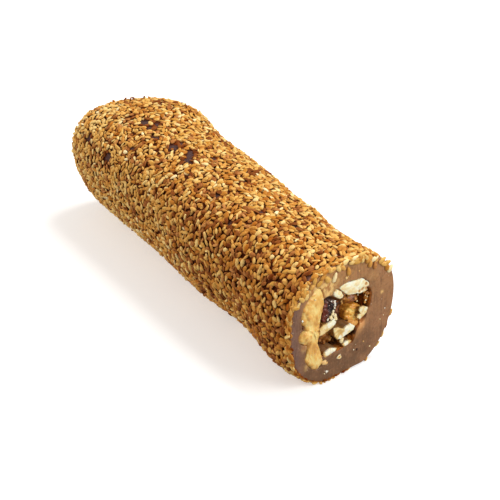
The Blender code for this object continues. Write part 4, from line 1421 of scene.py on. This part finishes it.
def nearPairs(points, reach):
    # Pairs of points closer than a reach: each point is set against those in its own and next cubes.
    cell = np.floor(points / reach).astype(np.int64)
    cell = cell - cell.min(axis=0) + 1
    span = cell.max(axis=0) + 2
    key = (cell[:, 0] * span[1] + cell[:, 1]) * span[2] + cell[:, 2]
    order = np.argsort(key, kind="stable")
    ranked = key[order]
    firsts, seconds = [], []
    shifts = [(i, j, k) for i in (-1, 0, 1) for j in (-1, 0, 1) for k in (-1, 0, 1) if (i, j, k) >= (0, 0, 0)]
    for shift in shifts:
        wanted = key + (shift[0] * span[1] + shift[1]) * span[2] + shift[2]
        low = np.searchsorted(ranked, wanted, "left")
        count = np.searchsorted(ranked, wanted, "right") - low
        first = np.repeat(np.arange(len(points)), count)
        offset = np.arange(count.sum()) - np.repeat(np.cumsum(count) - count, count)
        second = order[np.repeat(low, count) + offset]
        keep = first < second if shift == (0, 0, 0) else first >= 0
        firsts.append(first[keep])
        seconds.append(second[keep])
    first, second = np.concatenate(firsts), np.concatenate(seconds)
    close = np.linalg.norm(points[first] - points[second], axis=1) < reach
    return first[close], second[close]


def discFrames(way, angle, turn, crowd):
    # Each seed as three discs in a row on the skin: their centres, the seed's axis and the skin's frame.
    place, across, along, out, girth, pace = skinFrame(way, angle)
    axis = turned(across, along, turn)
    offsets = np.array(laying["discPlaces"]) * 0.5 * sesame["length"] * crowd * seedSize(way)[:, None]
    dots = place[:, None, :] + axis[:, None, :] * offsets[..., None]
    return dots, offsets, axis, (across, along, out, girth, pace)


def discReach(crowd, firstWay, secondWay):
    # How far apart each pair of two seeds' discs lies when they just touch.
    discs = np.array(laying["discWidths"]) * sesame["width"] * crowd
    size = 0.5 * (seedSize(firstWay) + seedSize(secondWay))
    return (discs[:, None] + discs[None, :]) * size[:, None, None]


def spreadSeeds(way, angle, turn):
    # Seeds push each other apart and turn, disc against disc, until few overlap.
    crowd = laying["elbowRoom"]
    lastWay = bar["length"] - laying["endRoom"]
    for work in range(laying["spreadRounds"]):
        dots, offsets, axis, (across, along, out, girth, pace) = discFrames(way, angle, turn, crowd)
        if work % laying["searchEvery"] == 0:
            first, second = nearPairs(dots[:, 1], laying["searchReach"] * sesame["length"] * crowd)
        apart = dots[first][:, :, None, :] - dots[second][:, None, :, :]
        distance = np.maximum(np.linalg.norm(apart, axis=-1), 1e-9)
        lack = np.maximum(discReach(crowd, way[first], way[second]) - distance, 0.0)
        push = apart * (lack / distance * laying["pushShare"])[..., None]
        given, taken = push.sum(2), push.sum(1)
        pushes = np.zeros(dots.shape)
        for disc, axisNumber in np.ndindex(3, 3):
            pushes[:, disc, axisNumber] += np.bincount(first, given[:, disc, axisNumber], len(way))
            pushes[:, disc, axisNumber] -= np.bincount(second, taken[:, disc, axisNumber], len(way))
        move = pushes.sum(axis=1)
        twist = (np.cross(axis[:, None, :] * offsets[..., None], pushes).sum(axis=1) * out).sum(axis=1)
        angle = angle + (move * across).sum(axis=1) / np.maximum(girth, laying["leastGirth"])
        way = way + (move * along).sum(axis=1) / np.maximum(pace, laying["leastPace"])
        angle = np.where(way < tipWay, angle + math.pi, angle)
        way = np.minimum(tipWay + np.abs(way - tipWay), lastWay)
        turn = turn + twist / (2.0 * offsets[:, 2] ** 2)
    return way, angle, turn


def stackSeeds(way, angle, turn, lift):
    # Seeds that cross lift each other off, one end at a time, so that they lie like shingles. Two discs
    # need the height of a flat drop over their distance, and every seed is pressed a little down.
    dots, offsets, _, _ = discFrames(way, angle, turn, 1.0)
    first, second = nearPairs(dots[:, 1], laying["stackReach"] * sesame["length"])
    distance = np.linalg.norm(dots[first][:, :, None, :] - dots[second][:, None, :, :], axis=-1)
    share = distance / discReach(1.0, way[first], way[second])
    row, firstDisc, secondDisc = np.nonzero(share < laying["touching"])
    need = sesame["thickness"] * np.sqrt(1.0 - share[row, firstDisc, secondDisc] ** 2)
    upper = first[row] * 3 + firstDisc
    lower = second[row] * 3 + secondDisc
    above = np.sign(lift[first[row]] - lift[second[row]])
    slope = np.zeros(len(way))
    count = 3 * len(way)
    crossings = np.maximum(np.bincount(upper, minlength=count) + np.bincount(lower, minlength=count), 1.0)
    for _ in range(laying["stackRounds"]):
        height = (lift[:, None] + slope[:, None] * offsets).ravel()
        lack = np.maximum(need - above * (height[upper] - height[lower]), 0.0) * 0.5 * above
        push = np.bincount(upper, lack, count) - np.bincount(lower, lack, count)
        push = push / np.sqrt(crossings) - laying["press"]
        push = np.maximum(push, laying["sunk"] - height).reshape(-1, 3)
        lift = np.minimum(lift + push.mean(axis=1), laying["highest"])
        slope = slope + (push * offsets).sum(axis=1) / (2.0 * offsets[:, 2] ** 2)
        slope = np.clip(slope, -laying["steepest"], laying["steepest"])
    return lift, np.arctan(slope)


def seedFrames(way, angle, turn, lift, tip, roll):
    # Frames of seeds: laid on the skin, turned in its plane, lifted, tipped along and rolled across. Last
    # comes the height by which each gets less painted shade, which is more by the cut.
    place, across, along, out, _, _ = skinFrame(way, angle)
    axis = turned(across, along, turn)
    beside = np.cross(out, axis)
    tipped = turned(axis, out, tip)
    side = turned(beside, np.cross(tipped, beside), roll)
    return place, out, lift, tipped, side, seedSize(way), sesame["rimShade"] * rimShare(way)


def drawSeeds(draw):
    # Places and turns drawn at random, as many to each bit of skin as fit there, then spread out.
    count, drawn = laying["count"], laying["draws"] * laying["count"]
    way = draw.uniform(tipWay, bar["length"] - laying["drawRoom"], drawn)
    angle = draw.uniform(0.0, 2.0 * math.pi, drawn)
    _, _, _, _, girth, pace = skinFrame(way, angle)
    weight = girth * pace / seedSize(way) ** 2
    chosen = draw.choice(drawn, count, replace=False, p=weight / weight.sum())
    return spreadSeeds(way[chosen], angle[chosen], draw.normal(0.0, laying["turns"], count))


def keepSeeds(way, angle, draw):
    # False where a bare spot lies, beyond the coat's end by the cut, and for the few that have fallen off.
    keep = way < bar["length"] - coatGap(angle)
    for spot in bareSpots:
        keep &= spotDistance(way, angle, spot) > laying["spotRoom"]
    return keep & (draw.uniform(size=len(way)) > laying["lost"])


def rimSeeds(draw):
    # Places and turns of a row of seeds along the rim in sight.
    count = laying["rimRow"]
    start, end, spread = laying["rimSpan"]
    angle = np.radians(np.linspace(start, end, count) + draw.normal(0.0, spread, count))
    way = bar["length"] - draw.uniform(*laying["rimBand"], count) * mm
    return way, angle, draw.normal(0.0, laying["rimTurns"], count)


def scatterSeeds():
    # All the coat's seeds as frames: spread out, thinned, with a row along the rim, stacked, a share of
    # them turned on edge, and at the end the standing ones.
    draw = np.random.default_rng(11)
    spread = drawSeeds(draw)
    keep = keepSeeds(spread[0], spread[1], draw)
    way, angle, turn = (np.append(rows[keep], added) for rows, added in zip(spread, rimSeeds(draw)))
    count = len(way)
    lift = np.append(draw.uniform(0.0, 1.0, keep.sum()), draw.uniform(0.6, 1.0, laying["rimRow"]))
    lift, tip = stackSeeds(way, angle, turn, lift * laying["highest"])
    tip = tip + draw.normal(0.0, laying["tip"], count)
    onEdge = draw.uniform(size=count) < laying["onEdge"]
    edgeRoll = draw.choice([-1.0, 1.0], count) * draw.uniform(*laying["edgeRoll"], count)
    roll = np.where(onEdge, edgeRoll, draw.normal(0.0, laying["roll"], count))
    lift = np.where(onEdge, np.minimum(lift, laying["edgeHighest"]), lift)
    middle, least = laying["rimSight"]
    inSight = np.cos(angle - math.radians(middle)) > least
    lift = lift - laying["rimSunk"] * rimShare(way) * inSight
    lift = lift - laying["pressedSunk"] * pressedShare(way, angle)
    kind, tone = seedKinds(way, angle, draw)
    seeds = np.column_stack([way, angle, turn, tip, roll, lift, kind, tone])
    seeds = np.vstack([seeds, np.array(standingSeeds) * standingUnits])
    way, angle, turn, tip, roll, lift, kind, tone = seeds.T
    report(f"{len(seeds)} seeds lie on the bar")
    return seedFrames(way, angle, turn, lift, tip, roll), kind, tone


def makeSeeds(name, frames, tone, material):
    # One joined mesh of seeds: the shared drop shape scaled and carried into every frame, with how far
    # each point lies towards the jelly, which browns it as painted shade.
    place, out, lift, axis, side, size, shadeClearance = frames
    count = len(place)
    draw = np.random.default_rng(count)
    drop, corners, sizes = ballShape(**sesame["shape"])
    scale = 1.0 + sesame["unevenness"] * draw.normal(size=(count, 3))
    half = 0.5 * np.array([sesame["length"], sesame["width"], sesame["thickness"]]) * scale * size[:, None]
    local = drop[None] * half[:, None, :]
    offsets = np.einsum("npk,nkc->npc", local, np.stack([axis, side, np.cross(axis, side)], axis=1))
    height = (offsets * out[:, None, :]).sum(axis=-1) + (lift + shadeClearance)[:, None]
    points = (place + out * lift[:, None])[:, None, :] + offsets
    points[..., 2] = np.maximum(points[..., 2], laying["lowest"])
    rim = np.clip(np.abs(drop[:, 1]) ** 2 + np.abs(drop[:, 0]) ** 4, 0.0, 1.0)
    made = joinedCopies(name, points, corners, sizes, material, {
        "tone": np.repeat(tone, len(drop)),
        "rim": np.tile(rim, count),
        # deep: painted shade, the more the nearer a point lies to the jelly
        "deep": np.clip(1.0 - height / sesame["shadeDepth"], 0.0, 1.0)})
    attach(made, "root")


# Dark, middle and light tone of each kind of seed.
seedTones = {
    "sesame_golden": (shade(192, 128, 42), shade(228, 177, 90), shade(250, 217, 142)),
    "sesame_amber": (shade(168, 90, 16), shade(206, 140, 58), shade(240, 188, 102)),
    "sesame_toasted": (shade(112, 50, 8), shade(158, 92, 40), shade(208, 144, 80)),
    "sesame_pale": (shade(238, 198, 122), shade(248, 218, 148), shade(255, 236, 184)),
}
# The brown of the painted shade low between the seeds.
seedShadeBrown = shade(114, 42, 0)

# The kinds as numbers, in the same order.
golden, amber, toasted, pale = range(len(seedTones))


def seedMaterial(name):
    # Toasted seeds: each takes its own tone, with a browner middle, a lighter rim, mottling and an oily
    # sheen, and painted shade that browns their undersides and all that lies low by the jelly.
    recipe = Recipe(name)
    dark, middle, light = seedTones[name]
    rim = recipe.attribute("rim")
    mottle = recipe.noise(0.7 * mm, 3.0, 0.6)
    return recipe.finish(
        Base_Color=recipe.layers(
            recipe.ramp(recipe.attribute("tone"), (0.0, dark), (0.5, middle), (1.0, light)),
            (recipe.rise(mottle, 0.42, 0.75) * 0.5, dark),
            (recipe.rise(rim, 0.35, 0.0) * 0.25, dark),
            (recipe.rise(rim, 0.35, 1.0) * 0.3, light),
            # Painted shade: browner where a point lies low, near the jelly.
            (recipe.rise(recipe.attribute("deep"), 0.20, 0.90) * 0.9, seedShadeBrown)),
        Roughness=0.40 + 0.2 * mottle,
        Normal=recipe.bump(mottle, 0.06 * mm),
        Specular_IOR_Level=0.06)


onCut = {
    "size": 1.25,  # of the usual seed, for the listed ones and for the strays
    "straySize": 1.1,
    "strays": ((78.0, 150.0, 16), (50.0, 90.0, 6)),  # where along the rim, in degrees, and how many
    "strayInset": (0.2, 1.0),  # how far in from the rim, in millimetres
    "lift": 0.25 * mm,
    "shadeClearance": 0.45 * mm,  # height by which they get less painted shade
    "tone": (0.3, 1.0),
}

# Seeds that lie on the cut: sideways and height in millimetres, turn in degrees and kind.
cutSeeds = (
    (-3.1, 39.0, -60.0, 0), (-1.4, 38.7, -50.0, 1), (-0.5, 40.2, 15.0, 3), (3.4, 40.2, 10.0, 3),
    (2.3, 39.2, 0.0, 0), (6.2, 40.3, 10.0, 0), (1.0, 36.4, 100.0, 1), (-6.2, 39.6, -20.0, 0),
    (-4.6, 36.6, 70.0, 3), (-7.6, 37.1, 120.0, 0), (-9.3, 38.5, 40.0, 1), (-10.6, 36.9, 30.0, 0),
    (9.0, 37.3, 40.0, 1), (9.8, 35.6, 80.0, 1), (11.6, 36.7, 10.0, 3), (11.8, 34.2, 95.0, 2),
    (14.8, 34.8, 20.0, 0), (15.6, 33.2, 150.0, 1), (16.9, 31.6, 100.0, 1), (18.3, 30.5, 50.0, 3),
    (17.2, 33.1, 5.0, 0), (6.8, 38.7, 20.0, 1), (4.3, 38.4, -20.0, 0), (-13.4, 37.0, 30.0, 1),
    (-15.6, 34.6, 75.0, 0), (-8.4, 39.9, 10.0, 1),
)


def cutSeedFrames(draw):
    # Frames and kinds of the seeds on the cut: the listed ones, then strays along its upper left rim.
    angle = np.radians(np.concatenate([draw.uniform(*stretch) for stretch in onCut["strays"]]))
    radius = barRadius(1.0, angle) - draw.uniform(*onCut["strayInset"], len(angle)) * mm
    listed = np.array(cutSeeds)
    side = np.append(listed[:, 0] * mm, radius * np.cos(angle))
    height = np.append(listed[:, 1] * mm, bar["axisHeight"] + radius * np.sin(angle))
    turn = np.append(np.radians(listed[:, 2]), draw.uniform(0.0, math.pi, len(angle)))
    kind = np.append(listed[:, 3], draw.choice((golden, golden, amber), len(angle)))
    size = np.repeat([onCut["size"], onCut["straySize"]], [len(listed), len(angle)])
    even = np.ones(len(side))
    flat = cutPoint(0.0, 0.0, 0.0)
    axis = cutPoint(np.cos(turn), np.sin(turn), 0.0) - flat
    out = cutPoint(0.0, 0.0, -1.0) - flat + 0.0 * axis
    place = cutPoint(side, height, 0.0)
    return (place, out, onCut["lift"] * even, axis, np.cross(out, axis), size, onCut["shadeClearance"] * even), kind


def seedKinds(way, angle, draw):
    # Kind and tone of each seed: more toasted ones on the near left side, as painted shade, and round the
    # bare spots, and lighter ones towards the far end and its left side, as painted light.
    count = len(way)
    pick = draw.uniform(size=count)
    begun = np.clip((way - sesame["leftStart"]) / sesame["leftFade"], 0.0, 1.0)
    onLeft = (sideShare(angle, sesame["leftSide"]) * begun)[:, None]
    # Painted shade: more toasted seeds on the near left side.
    shares = np.array(sesame["shares"]) * (1.0 - onLeft) + np.array(sesame["shadedSideShares"]) * onLeft
    kind = (pick[:, None] > np.cumsum(shares, axis=1)).sum(axis=1)
    farShare = 1.0 - np.maximum(way, 0.0) / bar["length"]
    # Painted light: seeds lighter towards the far end, and more so on its left side.
    tone = draw.normal(*sesame["tone"], count) + sesame["farPaintedLight"] * farShare
    tone = tone + sesame["farLeftPaintedLight"] * farShare ** 2 * np.maximum(-np.cos(angle), 0.0)
    for spot in bareSpots:
        near = spotDistance(way, angle, spot) < sesame["darkRing"]
        dark = near & (draw.uniform(size=count) < sesame["darkShare"])
        kind = np.where(dark, toasted, kind)
        tone = np.where(dark, sesame["darkTone"] * tone, tone)
    atRim = way > bar["length"] - sesame["rimBand"]
    kind = np.where(atRim & (kind == toasted), amber, kind)
    kind = np.where(atRim & (kind == pale) & (draw.uniform(size=count) < sesame["lessPale"]), golden, kind)
    return np.minimum(kind, pale), np.clip(tone, 0.0, 1.0)


def makeCoat():
    # The coat's seeds and those on the cut, sorted into one joined mesh for each kind.
    draw = np.random.default_rng(5)
    coat, coatKind, coatTone = scatterSeeds()
    cut, cutKind = cutSeedFrames(draw)
    frames = [np.concatenate(pair) for pair in zip(coat, cut)]
    kind = np.append(coatKind, cutKind)
    tone = np.append(coatTone, draw.uniform(*onCut["tone"], len(cutKind)))
    for number, name in enumerate(seedTones):
        chosen = kind == number
        makeSeeds(name, [rows[chosen] for rows in frames], tone[chosen], seedMaterial(name))


# Floor


def floorMaterial():
    # A white floor that glows a little, as in a light tent.
    tone = lighting["floorTone"]
    return Recipe("floor").finish(
        Base_Color=(tone, tone, tone, 1.0),
        Roughness=0.8,
        Emission_Color=(1.0, 1.0, 1.0, 1.0),
        Emission_Strength=lighting["floorGlow"])


def makeFloor(material):
    # One level square, which throws no light back on the bar.
    reach = lighting["floorReach"]
    corners = reach * np.array([[-1.0, -1.0, 0.0], [1.0, -1.0, 0.0], [1.0, 1.0, 0.0], [-1.0, 1.0, 0.0]])
    floor = meshFromArrays("floor", corners, np.arange(4), np.array([4]), material)
    floor.visible_diffuse = False
    floor.visible_glossy = False


placeCamera()
placeSky()
for lampName, lampValues in lamps.items():
    placeLamp(lampName, **lampValues)
makeFloor(floorMaterial())
report("camera, light and floor are in place")

makeJelly(jellyMaterial())
report("jelly is made")

nutMaterials = {name: nutMaterial(name) for name in nutLooks}
for number, (nutName, nutValues) in enumerate(nuts.items()):
    nutValues = {**plainNut, **nutValues}
    makeNut(nutName, nutValues, number + 1, nutMaterials[nutValues["look"]])
makeCore(nutMaterials["walnut_core"])
makeCrumbs(crumbMaterial())
report("walnuts are made")

makeCoat()
report("sesame coat is made")

bpy.context.view_layer.update()
